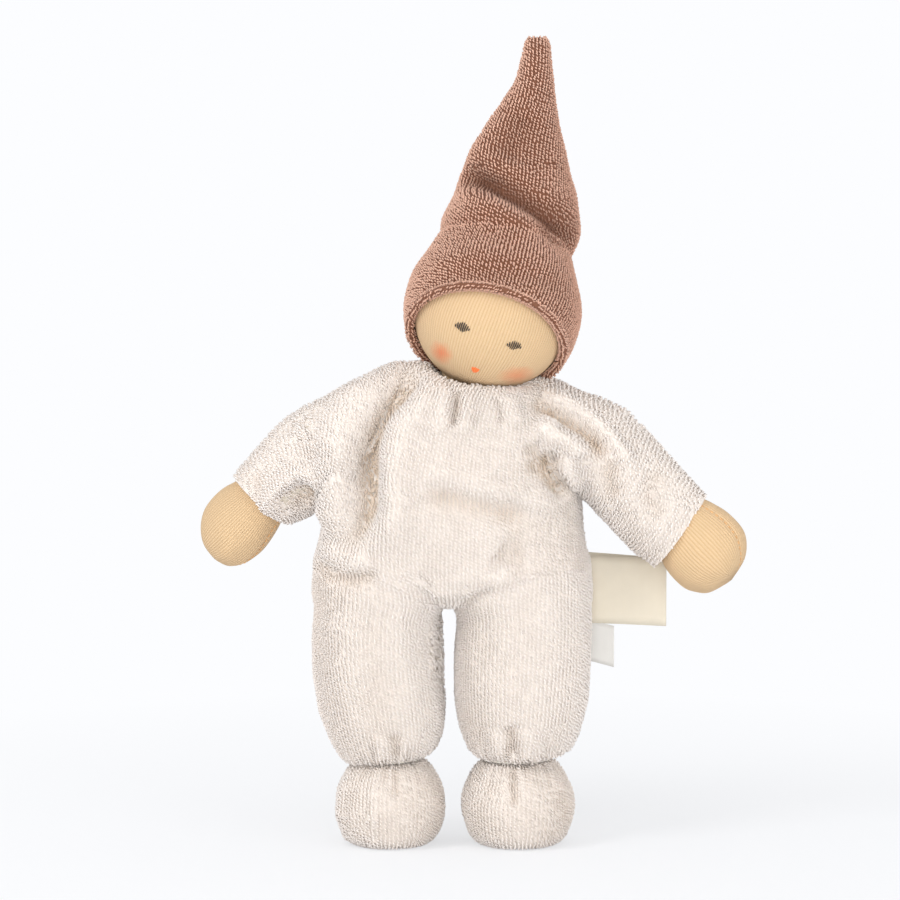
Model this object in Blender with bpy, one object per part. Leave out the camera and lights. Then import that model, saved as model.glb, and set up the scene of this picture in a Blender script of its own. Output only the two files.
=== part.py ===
"""Soft doll of cotton towelling and knitted cotton, stuffed with wool.

The doll stands upright on two flat soles, +Z up, and faces -Y. Left and right are the doll's own,
so its left side is +X. The origin lies on the ground under the middle of the doll's reach.
Every limb ends in a ball on its joint, and the suit is cut by that ball and by the limb as it lies
at both ends of its swing. A form is a loft of rings along its own Z axis.
"""

import math

import bmesh
import bpy
import numpy as np
from mathutils import Matrix, Vector

# Cloth and clearance
GAP = 0.0003  # between pieces that touch
SWING_GAP = 0.0008  # between pieces that move past each other
TERRY = 0.0022  # towelling with its loops pressed down
TRICOT = 0.0012  # knitted cotton of the head and the hands
THREAD = 0.0014  # tying thread
OVERRUN = 0.004  # how far a cutter passes the face that it cuts

# Trunk
BODY_ACROSS = -0.0082  # middle of the hips; the left arm reaches further out than the right
BODY_BACK = 0.0013  # the head and the feet reach further forward than the seat
NECK_LEAN = 0.0070  # the trunk leans a little to its left
NECK_HEIGHT = 0.1860
SEAT_HEIGHT = 0.1030
SEAT_DROP = 0.0100
TRUNK_HALF_WIDTH = 0.0540
TRUNK_HALF_DEPTH = 0.0280
COLLAR_RADIUS = 0.0145  # gathered collar round the neck
COLLAR_RISE = 0.0040
TRUNK_FULLNESS = 2.35

# Arms
SHOULDER_SPREAD = 0.0525
SHOULDER_HEIGHT = 0.1605
SHOULDER_RADIUS = 0.0188
SHOULDER_HALF_DEPTH = 0.0180
CUFF_HALF_WIDTH = 0.0160
CUFF_HALF_DEPTH = 0.0122
LEFT_SLEEVE_LENGTH = 0.0460
RIGHT_SLEEVE_LENGTH = 0.0410  # pushed up a little
LEFT_ARM_DROOP = math.radians(45)
RIGHT_ARM_DROOP = math.radians(41)
LEFT_ARM_SWING = math.radians(-14)
RIGHT_ARM_SWING = math.radians(-28)
LEFT_ARM_ROLL = math.radians(0)
RIGHT_ARM_ROLL = math.radians(40)
ARM_RAISE = math.radians(75)
ARM_LOWER = math.radians(15)

# Hands
HAND_HALF_WIDTH = 0.0168
HAND_HALF_DEPTH = 0.0128
HAND_LENGTH = 0.0310
WRIST_RADIUS = 0.0094

# Legs
HIP_SPREAD = 0.0280
HIP_HEIGHT = 0.0900
LEG_HALF_WIDTH = 0.0260
LEG_HALF_DEPTH = 0.0215
ANKLE_SPREAD = 0.0260
ANKLE_HEIGHT = 0.0345
ANKLE_RADIUS = 0.0145
LEG_FORWARD = math.radians(85)
LEG_BACK = math.radians(15)

# Feet
FOOT_HALF_WIDTH = 0.0222
FOOT_HALF_DEPTH = 0.0225
FOOT_FORWARD = 0.0010
FOOT_HALF_HEIGHT = 0.0158
SOLE_CUT = 0.0005  # how deep the ball of a foot is pressed flat by the ground
SOLE_HALF_WIDTH = 0.0080
SOLE_HALF_DEPTH = 0.0150

# Head and neck
HEAD_RADIUS = 0.0310
HEAD_RISE = 0.0280  # neck joint to the middle of the head
HEAD_TILT = math.radians(20)
HEAD_NOD = math.radians(10)
HEAD_YAW = math.radians(2)
NECK_RADIUS = 0.0108
TILT_BACK = math.radians(-30)
TILT_ON = math.radians(5)
NOD_REACH = math.radians(12)

# Face
STITCH = 0.0006
EYE_HALF_WIDTH = 0.0031
EYE_HALF_HEIGHT = 0.0020
EYE_LONGITUDE = math.radians(20)
EYE_LATITUDE = math.radians(-5)
MOUTH_HALF_WIDTH = 0.0016
MOUTH_HALF_HEIGHT = 0.0015
MOUTH_LATITUDE = math.radians(-35)
EYE_CORNER_SHARE = 0.35  # how far an end of the patch narrows
MOUTH_CORNER_SHARE = 0.1

# Cap
CAP_RADIUS = 0.0352
OPENING_DROOP = math.radians(33)
OPENING_ANGLE = math.radians(57)
HEM_RADIUS = 0.0019
POINT_ACROSS = -0.0056
POINT_BACK = 0.0178
POINT_RISE = 0.0742  # neck joint to the point's own joint, along the head
POINT_LEAN = math.radians(-11)
POINT_PITCH = math.radians(-13)
POINT_LENGTH = 0.0611
POINT_HALF_WIDTH = 0.0225
POINT_HALF_DEPTH = 0.0125
TIP_RADIUS = 0.0050

# Labels
LABEL_WIDTH = 0.0300
LABEL_HEIGHT = 0.0255
LABEL_TOP = 0.1145
LABEL_SEAM = 0.0545  # middle of the hips to the seam
LABEL_BACK = 0.0060  # the side seam lies behind the middle
LABEL_TURN = math.radians(12)
RIBBON = 0.0005
LABEL_OPENING = 0.0006
CARE_WIDTH = 0.0095
CARE_HEIGHT = 0.0165
CARE_CURL = 0.0030

# Shares of the sizes above, low to high along each form
# height, lean, half-width, half-depth
TRUNK_SHARES = (
    (0.00, 0.00, 1.00, 0.96),
    (0.16, 0.10, 1.00, 1.00),
    (0.38, 0.32, 0.93, 0.97),
    (0.58, 0.56, 0.85, 0.92),
    (0.76, 0.78, 0.83, 0.86),
    (0.90, 0.92, 0.76, 0.74),
    (1.00, 1.00, 0.55, 0.56),
)
# distance from shoulder to cuff, half-width, half-depth as they pass from ball to cuff
SLEEVE_SHARES = ((0.00, 0.00), (0.30, 0.02), (0.62, 0.36), (0.86, 0.82), (1.00, 1.00))
# distance from hip to ankle, half-width, half-depth
LEG_SHARES = (
    (0.00, 1.00, 1.00),
    (0.30, 1.00, 1.00),
    (0.60, 0.98, 1.00),
    (0.80, 0.88, 0.93),
    (0.92, 0.71, 0.79),
)
# height, half-width, half-depth of a foot
FOOT_SHARES = ((0.14, 0.86, 0.86), (0.42, 1.00, 1.00), (0.70, 0.96, 0.96), (0.88, 0.80, 0.80))
# distance from wrist to finger end, half-width, half-depth
HAND_SHARES = ((0.26, 0.93, 0.92), (0.45, 1.00, 1.00), (0.66, 0.97, 0.93))
# height, half-width and half-depth of the cap's point, bend to the side
POINT_SHARES = (
    (0.00, 1.00, 1.00, 0.00),
    (0.25, 0.84, 0.86, 0.02),
    (0.50, 0.63, 0.66, 0.08),
    (0.72, 0.42, 0.46, 0.11),
    (0.92, 0.25, 0.38, 0.09),
)
POINT_BEND = 0.0160
FOLD_SHARES = ((0.00, 1.04, 1.30), (0.45, 1.15, 1.34), (1.00, 1.13, 1.22))

# Facets
TRUNK_AROUND = 24
AROUND = 16
SMALL_AROUND = 12
INNER_FACET_SHARE = 0.6
POLE_SHARE = 0.02
THREAD_AROUND = 12
DOME_STEPS = 3
INNER_DOME_STEPS = 2
BALL_STEPS = 8
SPAN_STEPS = 2
HEAD_STEPS = 10
CROWN_STEPS = 8
SWING_AROUND = 7
PATCH_AROUND = 12
PATCH_SHARES = (0.5, 1.0)
LABEL_STEPS = 6


def clear_scene():
    """Removes what the scene holds."""
    for item in list(bpy.data.objects):
        bpy.data.objects.remove(item)


def finish(name, colour, roughness):
    """A cloth or thread finish."""
    material = bpy.data.materials.new(name)
    material.use_nodes = True
    shader = material.node_tree.nodes["Principled BSDF"]
    shader.inputs["Base Color"].default_value = (*colour, 1.0)
    shader.inputs["Roughness"].default_value = roughness
    shader.inputs["Metallic"].default_value = 0.0
    return material


def pivot(name, parent, place, turn=(0.0, 0.0, 0.0), order="XYZ"):
    """An empty on a joint, which carries the pieces of one moving body."""
    empty = bpy.data.objects.new(name, None)
    bpy.context.collection.objects.link(empty)
    empty.parent = parent
    empty.location = place
    empty.rotation_mode = order
    empty.rotation_euler = turn
    return empty


def place_mesh(name, parent, points, faces, colour=None, roughness=0.95):
    """Makes an object of points and faces in its parent's frame."""
    mesh = bpy.data.meshes.new(name)
    mesh.from_pydata([tuple(point) for point in points], [], faces)
    mesh.validate()
    mesh.shade_smooth()
    item = bpy.data.objects.new(name, mesh)
    bpy.context.collection.objects.link(item)
    item.parent = parent
    if colour is not None:
        mesh.materials.append(finish(f"{name}_finish", colour, roughness))
    return item


def smooth(rows, steps):
    """Catmull-Rom curve through the rows, with a number of steps to each span."""
    rows = np.array(rows, dtype=float)
    ends = np.vstack([2 * rows[0] - rows[1], rows, 2 * rows[-1] - rows[-2]])
    made = []
    for i in range(1, len(ends) - 2):
        before, start, end, after = ends[i - 1 : i + 3]
        for t in np.arange(steps) / steps:
            made.append(
                0.5
                * (
                    2 * start
                    + (end - before) * t
                    + (2 * before - 5 * start + 4 * end - after) * t**2
                    + (3 * start - before - 3 * end + after) * t**3
                )
            )
    made.append(ends[-2])
    return np.array(made)


def dome(row, rise, grow, low, steps):
    """Rings of half an ellipsoid on an end row, from its rim to the ring before its pole."""
    side = -1 if low else 1
    rings = []
    for k in range(1, steps):
        angle = math.pi / 2 * k / steps
        ring = row.copy()
        ring[0] += side * (rise + grow) * math.sin(angle)
        ring[3:5] *= math.cos(angle)
        rings.append(ring)
    pole = row.copy()
    pole[0] += side * (rise + grow)
    return rings, pole


def loft(rows, around, power=2.0, twist=0.0, low=0.0, high=0.0, grow=0.0):
    """Points and faces of a form. A row is height, across, forward, half-width, half-depth.

    low and high are the rises of the end domes, or zero for a flat end. grow moves the whole
    skin out, or in where it is negative, and an inner form has fewer rings. twist is the turn
    of the rings to each unit of height.
    """
    inner = grow < 0
    around = round(around * INNER_FACET_SHARE) if inner else around
    dome_steps = INNER_DOME_STEPS if inner else DOME_STEPS
    rows = smooth(rows, 1 if inner else SPAN_STEPS)
    rows[:, 3:5] += grow
    turns = twist * (rows[:, 0] - rows[0, 0])
    first, last = rows[0].copy(), rows[-1].copy()
    rows = list(rows)
    turns = list(turns)
    low_pole, high_pole = first.copy(), last.copy()
    if low:
        rings, low_pole = dome(first, low, grow, True, dome_steps)
        rows = rings[::-1] + rows
        turns = [turns[0]] * len(rings) + turns
    if high:
        rings, high_pole = dome(last, high, grow, False, dome_steps)
        rows = rows + rings
        turns = turns + [turns[-1]] * len(rings)
    angles = np.arange(around) * 2 * math.pi / around
    wide = np.sign(np.cos(angles)) * np.abs(np.cos(angles)) ** (2 / power)
    deep = np.sign(np.sin(angles)) * np.abs(np.sin(angles)) ** (2 / power)
    points = []
    for row, turn in zip(rows, turns):
        x, y = row[3] * wide, row[4] * deep
        across = row[1] + x * math.cos(turn) - y * math.sin(turn)
        forward = row[2] + x * math.sin(turn) + y * math.cos(turn)
        points += list(zip(across, forward, np.full(around, row[0])))
    faces = []
    for ring in range(len(rows) - 1):
        for k in range(around):
            a, b = ring * around + k, ring * around + (k + 1) % around
            faces.append((a, b, b + around, a + around))
    low_middle, high_middle = len(points), len(points) + 1
    points.append((low_pole[1], low_pole[2], low_pole[0]))
    points.append((high_pole[1], high_pole[2], high_pole[0]))
    last_ring = (len(rows) - 1) * around
    for k in range(around):
        following = (k + 1) % around
        faces.append((following, k, low_middle))
        faces.append((last_ring + k, last_ring + following, high_middle))
    return points, faces


def turned(profile, around, closed=False):
    """Points and faces of a profile of (radius, height) turned about Z, from low to high.

    An open profile starts and ends on the axis. A closed one is a ring with its own section.
    """
    angles = np.arange(around) * 2 * math.pi / around
    inner = profile if closed else profile[1:-1]
    points = [(r * math.cos(a), r * math.sin(a), z) for r, z in inner for a in angles]
    faces = []
    count = len(inner)
    for ring in range(count if closed else count - 1):
        above = (ring + 1) % count
        for k in range(around):
            following = (k + 1) % around
            faces.append(
                (
                    ring * around + k,
                    ring * around + following,
                    above * around + following,
                    above * around + k,
                )
            )
    if not closed:
        low, high = len(points), len(points) + 1
        points += [(0.0, 0.0, profile[0][1]), (0.0, 0.0, profile[-1][1])]
        last_ring = (count - 1) * around
        for k in range(around):
            following = (k + 1) % around
            faces.append((following, k, low))
            faces.append((last_ring + k, last_ring + following, high))
    return points, faces


def flats(radius, around, steps):
    """Corner radius of a faceted ball whose flats lie at the radius."""
    return radius / math.cos(math.pi / around) / math.cos(math.pi / 2 / steps)


def ball(radius, around, steps=BALL_STEPS):
    """Points and faces of a ball."""
    profile = [
        (radius * math.sin(math.pi * k / steps), -radius * math.cos(math.pi * k / steps))
        for k in range(steps + 1)
    ]
    return turned(profile, around)


def room_ball(radius, around, steps=BALL_STEPS):
    """Points and faces of a ball that holds the whole of a round ball of the radius."""
    return ball(flats(radius, around, steps), around, steps)


def rod(half_width, half_depth, low, high, around=SMALL_AROUND):
    """Points and faces of an oval rod that runs along Z from low to high."""
    unit = turned(((0.0, 0.0), (1.0, 0.0), (1.0, 1.0), (0.0, 1.0)), around)
    return moved(unit, shift=(0.0, 0.0, low), scale=(half_width, half_depth, high - low))


def hoop(radius, section_radius, around, section=6):
    """Points and faces of a round ring of thread or rolled cloth."""
    profile = []
    for k in range(section):
        angle = -2 * math.pi * k / section
        across = radius + section_radius * math.cos(angle)
        profile.append((across, -section_radius * math.sin(angle)))
    return turned(profile, around, closed=True)


def hull(points):
    """Points and faces of the tightest skin round some points that has no hollow."""
    mesh = bmesh.new()
    for point in points:
        mesh.verts.new(point)
    made = bmesh.ops.convex_hull(mesh, input=mesh.verts)
    inside = [item for item in made["geom_interior"] if isinstance(item, bmesh.types.BMVert)]
    bmesh.ops.delete(mesh, geom=inside, context="VERTS")
    mesh.verts.index_update()
    points = [vertex.co.copy() for vertex in mesh.verts]
    faces = [[vertex.index for vertex in face.verts] for face in mesh.faces]
    mesh.free()
    return points, faces


def moved(form, shift=(0.0, 0.0, 0.0), scale=(1.0, 1.0, 1.0)):
    """A form scaled along its axes and then moved."""
    points = np.array(form[0]) * np.array(scale) + np.array(shift)
    return points, form[1]


def cutter(name, parent, form, turn=None):
    """A hidden form that cuts others; turn is a matrix in its parent's frame."""
    item = place_mesh(name, parent, *form)
    item.hide_render = True
    item.display_type = "WIRE"
    if turn is not None:
        item.matrix_local = turn
    return item


def cut(item, *cutters):
    """Takes the cutters out of a piece."""
    for tool in cutters:
        modifier = item.modifiers.new(f"cut_{tool.name}", "BOOLEAN")
        modifier.operation = "DIFFERENCE"
        modifier.solver = "EXACT"
        modifier.object = tool


def swing_room(radius, half_depth, reach, low_angle, high_angle):
    """Points and faces of the room that a limb sweeps about its Y axis, from its ball outwards.

    The limb runs along +Z at rest. Each slice across Y is the ball's circle and the fan between
    the limb's outer flanks at both ends of its swing, with the circle shrunk as the ball is.
    """
    around, steps = SWING_AROUND, BALL_STEPS
    arc = (math.pi - high_angle + low_angle) / (around - 1)
    flat = math.cos(math.pi / 2 / steps) * math.cos(arc / 2)
    radius, half_depth = radius / flat, half_depth / flat
    points, faces = [], []
    for k in range(steps + 1):
        level = -math.pi / 2 + math.pi * k / steps
        slice_radius = radius * max(math.cos(level), POLE_SHARE)
        depth = half_depth * math.sin(level)
        outline = []
        back = np.linspace(high_angle + math.pi / 2, low_angle + 3 * math.pi / 2, around)
        for angle in back:
            outline.append((slice_radius * math.sin(angle), slice_radius * math.cos(angle)))
        for angle, side in ((low_angle, -1), (high_angle, 1)):
            square = angle + side * math.pi / 2
            outline.append(
                (
                    slice_radius * math.sin(square) + reach * math.sin(angle),
                    slice_radius * math.cos(square) + reach * math.cos(angle),
                )
            )
        middle = (low_angle + high_angle) / 2
        far = reach + radius
        outline.insert(around + 1, (far * math.sin(middle), far * math.cos(middle)))
        points += [(x, depth, z) for x, z in outline]
    count = around + 3
    for ring in range(steps):
        for k in range(count):
            following = (k + 1) % count
            a, b = ring * count + k, ring * count + following
            faces.append((a, b, b + count, a + count))
    faces.append(tuple(reversed(range(count))))
    faces.append(tuple(range(steps * count, (steps + 1) * count)))
    return points, faces


def strip(path, thickness, width):
    """Points and faces of a ribbon that follows a path in X and Y and is width wide along Z."""
    path = np.array(path, dtype=float)
    along = np.gradient(path, axis=0)
    along /= np.linalg.norm(along, axis=1)[:, None]
    out = np.stack([along[:, 1], -along[:, 0]], axis=1) * thickness / 2
    points = []
    for place, offset in zip(path, out):
        near, far = place - offset, place + offset
        for corner in (near, far):
            points += [(*corner, 0.0), (*corner, width)]
    faces = []
    for k in range(len(path) - 1):
        a, b = 4 * k, 4 * (k + 1)
        faces += [(a, a + 1, b + 1, b), (a + 3, a + 2, b + 2, b + 3)]
        faces += [(a + 2, a, b, b + 2), (a + 1, a + 3, b + 3, b + 1)]
    faces += [(0, 2, 3, 1), (b, b + 1, b + 3, b + 2)]
    return points, faces


CREAM = (0.85, 0.80, 0.74)
SKIN = (0.90, 0.68, 0.46)
BROWN = (0.42, 0.27, 0.21)
WOOL = (0.88, 0.84, 0.76)
LINEN = (0.80, 0.76, 0.70)
EYE_BROWN = (0.16, 0.08, 0.05)
MOUTH_RED = (0.75, 0.20, 0.10)
SATIN = (0.86, 0.84, 0.76)


def leg_rows(side):
    """Rows of a leg, from the ankle up to the hip, in the hip's frame."""
    length = HIP_HEIGHT - ANKLE_HEIGHT
    inward = side * (ANKLE_SPREAD - HIP_SPREAD)
    rows = [(-length, inward, 0.0, ANKLE_RADIUS, ANKLE_RADIUS)]
    for down, wide, deep in reversed(LEG_SHARES):
        rows.append(
            (-down * length, down * inward, 0.0, wide * LEG_HALF_WIDTH, deep * LEG_HALF_DEPTH)
        )
    return rows


def leg_form(side, grow=0.0):
    """A leg with a ball at the ankle and a barrel at the hip, round about the hip's axis."""
    return loft(leg_rows(side), AROUND, low=ANKLE_RADIUS, high=LEG_HALF_DEPTH, grow=grow)


def add_leg(torso, side, name):
    """One trouser leg with its wool, its ankle thread and its foot."""
    hip = pivot(f"{name}_hip", torso, (side * HIP_SPREAD, 0.0, HIP_HEIGHT))
    inner = cutter(f"{name}_leg_hollow", hip, leg_form(side, -TERRY))
    hole = cutter(
        f"{name}_leg_mouth",
        hip,
        rod(LEG_HALF_WIDTH / 2, LEG_HALF_DEPTH / 2, 0.0, LEG_HALF_DEPTH + OVERRUN),
    )
    ankle_place = (side * (ANKLE_SPREAD - HIP_SPREAD), 0.0, ANKLE_HEIGHT - HIP_HEIGHT)
    tie_radius = ANKLE_RADIUS - THREAD / 2
    groove = cutter(
        f"{name}_tie_groove",
        hip,
        moved(hoop(tie_radius, THREAD / 2 + GAP, THREAD_AROUND), shift=ankle_place),
    )
    leg = place_mesh(f"{name}_leg", hip, *leg_form(side), CREAM)
    cut(leg, inner, hole, groove)
    place_mesh(f"{name}_leg_wool", hip, *leg_form(side, -TERRY - GAP), WOOL)
    tie = moved(hoop(tie_radius, THREAD / 2, THREAD_AROUND), shift=ankle_place)
    place_mesh(f"{name}_ankle_tie", hip, *tie, LINEN, 0.8)

    ankle = pivot(f"{name}_ankle", hip, ankle_place)
    socket = cutter(f"{name}_ankle_socket", ankle, room_ball(ANKLE_RADIUS + GAP, AROUND))
    hollow = cutter(f"{name}_foot_hollow", ankle, foot_form(-TERRY))
    foot = place_mesh(f"{name}_foot", ankle, *standing_foot(), CREAM)
    cut(foot, hollow, socket)
    wool = place_mesh(f"{name}_foot_wool", ankle, *foot_form(-TERRY - GAP), WOOL)
    cut(wool, socket)
    swing = swing_room(
        LEG_HALF_DEPTH + SWING_GAP,
        LEG_HALF_WIDTH + SWING_GAP,
        HIP_HEIGHT - ANKLE_HEIGHT,
        -LEG_FORWARD,
        LEG_BACK,
    )
    axes = Matrix(((0, 1, 0), (1, 0, 0), (0, 0, -1))).to_4x4()
    return cutter(f"{name}_leg_room", hip, swing, axes)


def foot_form(grow):
    """A tied-off foot, in the ankle's frame."""
    height = 2 * FOOT_HALF_HEIGHT
    base = -ANKLE_HEIGHT - SOLE_CUT
    rows = []
    for up, wide, deep in FOOT_SHARES:
        rows.append(
            (
                base + up * height,
                0.0,
                -FOOT_FORWARD,
                wide * FOOT_HALF_WIDTH,
                deep * FOOT_HALF_DEPTH,
            )
        )
    low = FOOT_SHARES[0][0] * height
    high = (1 - FOOT_SHARES[-1][0]) * height
    return loft(rows, SMALL_AROUND, low=low, high=high, grow=grow)


def standing_foot():
    """A foot pressed flat on the ground, with the four corners of its sole under the ankle."""
    points = [point for point in foot_form(0.0)[0] if point[2] > SOLE_CUT - ANKLE_HEIGHT]
    for across in (-SOLE_HALF_WIDTH, SOLE_HALF_WIDTH):
        for forward in (-SOLE_HALF_DEPTH, SOLE_HALF_DEPTH):
            points.append((across, forward, -ANKLE_HEIGHT))
    return hull(points)


def sleeve_rows(length, past_cuff=0.0):
    """Rows of a sleeve, from the shoulder's joint to the cuff."""
    rows = []
    for out, blend in SLEEVE_SHARES:
        wide = SHOULDER_RADIUS + (CUFF_HALF_WIDTH - SHOULDER_RADIUS) * blend
        deep = SHOULDER_HALF_DEPTH + (CUFF_HALF_DEPTH - SHOULDER_HALF_DEPTH) * blend
        rows.append((out * length, 0.0, 0.0, wide, deep))
    if past_cuff:
        rows.append((length + past_cuff, 0.0, 0.0, CUFF_HALF_WIDTH, CUFF_HALF_DEPTH))
    return rows


def hand_form(grow):
    """A mitten hand with the ball of its wrist, in the wrist's frame."""
    rows = [(0.0, 0.0, 0.0, WRIST_RADIUS, WRIST_RADIUS)]
    for out, wide, deep in HAND_SHARES:
        rows.append((out * HAND_LENGTH, 0.0, 0.0, wide * HAND_HALF_WIDTH, deep * HAND_HALF_DEPTH))
    high = (1 - HAND_SHARES[-1][0]) * HAND_LENGTH
    return loft(rows, SMALL_AROUND, low=WRIST_RADIUS, high=high, grow=grow)


def add_arm(torso, side, name, length, droop, swing, roll):
    """One sleeve with its wool and its hand."""
    across = (SHOULDER_HEIGHT - SEAT_HEIGHT) / (NECK_HEIGHT - SEAT_HEIGHT)
    place = (
        across * NECK_LEAN + side * SHOULDER_SPREAD,
        0.0,
        SHOULDER_HEIGHT,
    )
    turn = (0.0, side * (math.pi / 2 + droop), swing)
    shoulder = pivot(f"{name}_shoulder", torso, place, turn)
    twist = roll / length
    sleeve_form = loft(sleeve_rows(length), AROUND, twist=twist, low=SHOULDER_RADIUS)
    hollow = cutter(
        f"{name}_sleeve_hollow",
        shoulder,
        loft(sleeve_rows(length, OVERRUN), AROUND, twist=twist, low=SHOULDER_RADIUS, grow=-TERRY),
    )
    mouth_radius = SHOULDER_HALF_DEPTH / 2
    mouth = cutter(
        f"{name}_sleeve_mouth",
        shoulder,
        rod(mouth_radius, mouth_radius, -SHOULDER_RADIUS - OVERRUN, 0.0),
    )
    sleeve = place_mesh(f"{name}_sleeve", shoulder, *sleeve_form, CREAM)
    cut(sleeve, hollow, mouth)

    wrist = pivot(f"{name}_wrist", shoulder, (0.0, 0.0, length), (0.0, 0.0, roll))
    wrist_room = cutter(f"{name}_wrist_room", wrist, room_ball(WRIST_RADIUS + GAP, SMALL_AROUND))
    filling = loft(
        sleeve_rows(length)[:-1], AROUND, twist=twist, low=SHOULDER_RADIUS, grow=-TERRY - GAP
    )
    wool = place_mesh(f"{name}_arm_wool", shoulder, *filling, WOOL)
    cut(wool, wrist_room)

    inside = cutter(f"{name}_hand_hollow", wrist, hand_form(-TRICOT))
    wrist_hole = cutter(
        f"{name}_wrist_hole",
        wrist,
        rod(WRIST_RADIUS / 2, WRIST_RADIUS / 2, -WRIST_RADIUS - OVERRUN, 0.0),
    )
    hand = place_mesh(f"{name}_hand", wrist, *hand_form(0.0), SKIN, 0.85)
    cut(hand, inside, wrist_hole)
    place_mesh(f"{name}_hand_wool", wrist, *hand_form(-TRICOT - GAP), WOOL)

    ends = (-ARM_RAISE, ARM_LOWER) if side > 0 else (-ARM_LOWER, ARM_RAISE)
    swing = swing_room(
        SHOULDER_RADIUS + SWING_GAP, SHOULDER_HALF_DEPTH + SWING_GAP, length, *ends
    )
    return cutter(f"{name}_arm_room", shoulder, swing)


def trunk_rows():
    """Rows of the trunk, from the seat to the neck."""
    rows = []
    for up, lean, wide, deep in TRUNK_SHARES:
        height = SEAT_HEIGHT + up * (NECK_HEIGHT - SEAT_HEIGHT)
        across = lean * NECK_LEAN
        rows.append((height, across, 0.0, wide * TRUNK_HALF_WIDTH, deep * TRUNK_HALF_DEPTH))
    return rows


def trunk_form(grow):
    """The stuffed trunk, fuller than an oval across."""
    return loft(
        trunk_rows(), TRUNK_AROUND, power=TRUNK_FULLNESS, low=SEAT_DROP, high=COLLAR_RISE, grow=grow
    )


def head_room(torso):
    """The bowl that the head and cap need in the shoulders as the head tilts and nods.

    It is the hull of the cap's ball at the four corners of that motion.
    """
    neck_place = Vector((NECK_LEAN, 0.0, NECK_HEIGHT))
    points = []
    for lean in (HEAD_TILT + TILT_ON, HEAD_TILT + TILT_BACK):
        for nod in (HEAD_NOD + NOD_REACH, HEAD_NOD - NOD_REACH):
            turn = Matrix.Rotation(lean, 3, "Y") @ Matrix.Rotation(nod, 3, "X")
            middle = neck_place + turn @ Vector((0.0, 0.0, HEAD_RISE))
            bowl = moved(room_ball(CAP_RADIUS + SWING_GAP, SMALL_AROUND), shift=middle)
            points.extend(bowl[0])
    room = cutter("head_room", torso, hull(points))
    collar = cutter(
        "collar_keep", torso, moved(ball(COLLAR_RADIUS, SMALL_AROUND), shift=neck_place)
    )
    cut(room, collar)
    return room


def collar_drop():
    """How far the collar's rim lies below the neck joint, clear of the leaning neck thread."""
    level = math.cos(HEAD_TILT + TILT_ON) * math.cos(HEAD_NOD + NOD_REACH)
    reach = NECK_RADIUS + GAP + THREAD
    return reach * math.sin(math.acos(level)) + THREAD / 2 + GAP


def neck_space():
    """The room round the neck: a ball's lower cap, and from the collar's rim up a wide round."""
    radius = flats(NECK_RADIUS + GAP, SMALL_AROUND, BALL_STEPS)
    drop = collar_drop()
    span = math.acos(drop / radius)
    profile = []
    for k in range(DOME_STEPS + 1):
        angle = span * k / DOME_STEPS
        profile.append((radius * math.sin(angle), -radius * math.cos(angle)))
    wide, top = COLLAR_RADIUS + OVERRUN, NECK_RADIUS + OVERRUN
    profile += [(wide, -drop), (wide, top), (0.0, top)]
    return turned(profile, SMALL_AROUND)


def add_trunk(torso, swings):
    """The suit's body and the wool inside, cut by the limbs, the neck and the head."""
    neck_place = (NECK_LEAN, 0.0, NECK_HEIGHT)
    neck_room = cutter("neck_room", torso, moved(neck_space(), shift=neck_place))
    rooms = [head_room(torso), neck_room, *swings]
    hollow = cutter("trunk_hollow", torso, trunk_form(-TERRY))
    trunk = place_mesh("suit_trunk", torso, *trunk_form(0.0), CREAM)
    cut(trunk, hollow, *rooms)
    wool = place_mesh("trunk_wool", torso, *trunk_form(-TERRY - GAP), WOOL)
    cut(wool, *rooms)


def patch(longitude, latitude, half_width, half_height, corner):
    """An embroidered patch that lies on the head; corner narrows its two ends."""
    around = PATCH_AROUND
    seat = HEAD_RADIUS + GAP

    def spot(across, up, radius):
        lon = longitude + across / HEAD_RADIUS / math.cos(latitude)
        lat = latitude + up / HEAD_RADIUS
        level = math.cos(lat)
        return (
            radius * level * math.sin(lon),
            -radius * level * math.cos(lon),
            radius * math.sin(lat) + HEAD_RISE,
        )

    points, faces = [], []
    for layer in (0, 1):
        for share in PATCH_SHARES:
            radius = seat + layer * STITCH * (1 - share**2 / 2)
            for k in range(around):
                angle = 2 * math.pi * k / around
                narrow = 1 - corner * abs(math.cos(angle)) ** 3
                across = share * half_width * math.cos(angle)
                up = share * half_height * math.sin(angle) * narrow
                points.append(spot(across, up, radius))
        points.append(spot(0.0, 0.0, seat + layer * STITCH))
    block = 2 * around + 1
    for k in range(around):
        following = (k + 1) % around
        faces.append((block - 1, following, k))
        faces.append((k, following, following + around, k + around))
        faces.append((2 * block - 1, block + k, block + following))
        faces.append((block + k, block + k + around, block + following + around, block + following))
        faces.append((k + around, following + around, block + following + around, block + k + around))
    return points, faces


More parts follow.
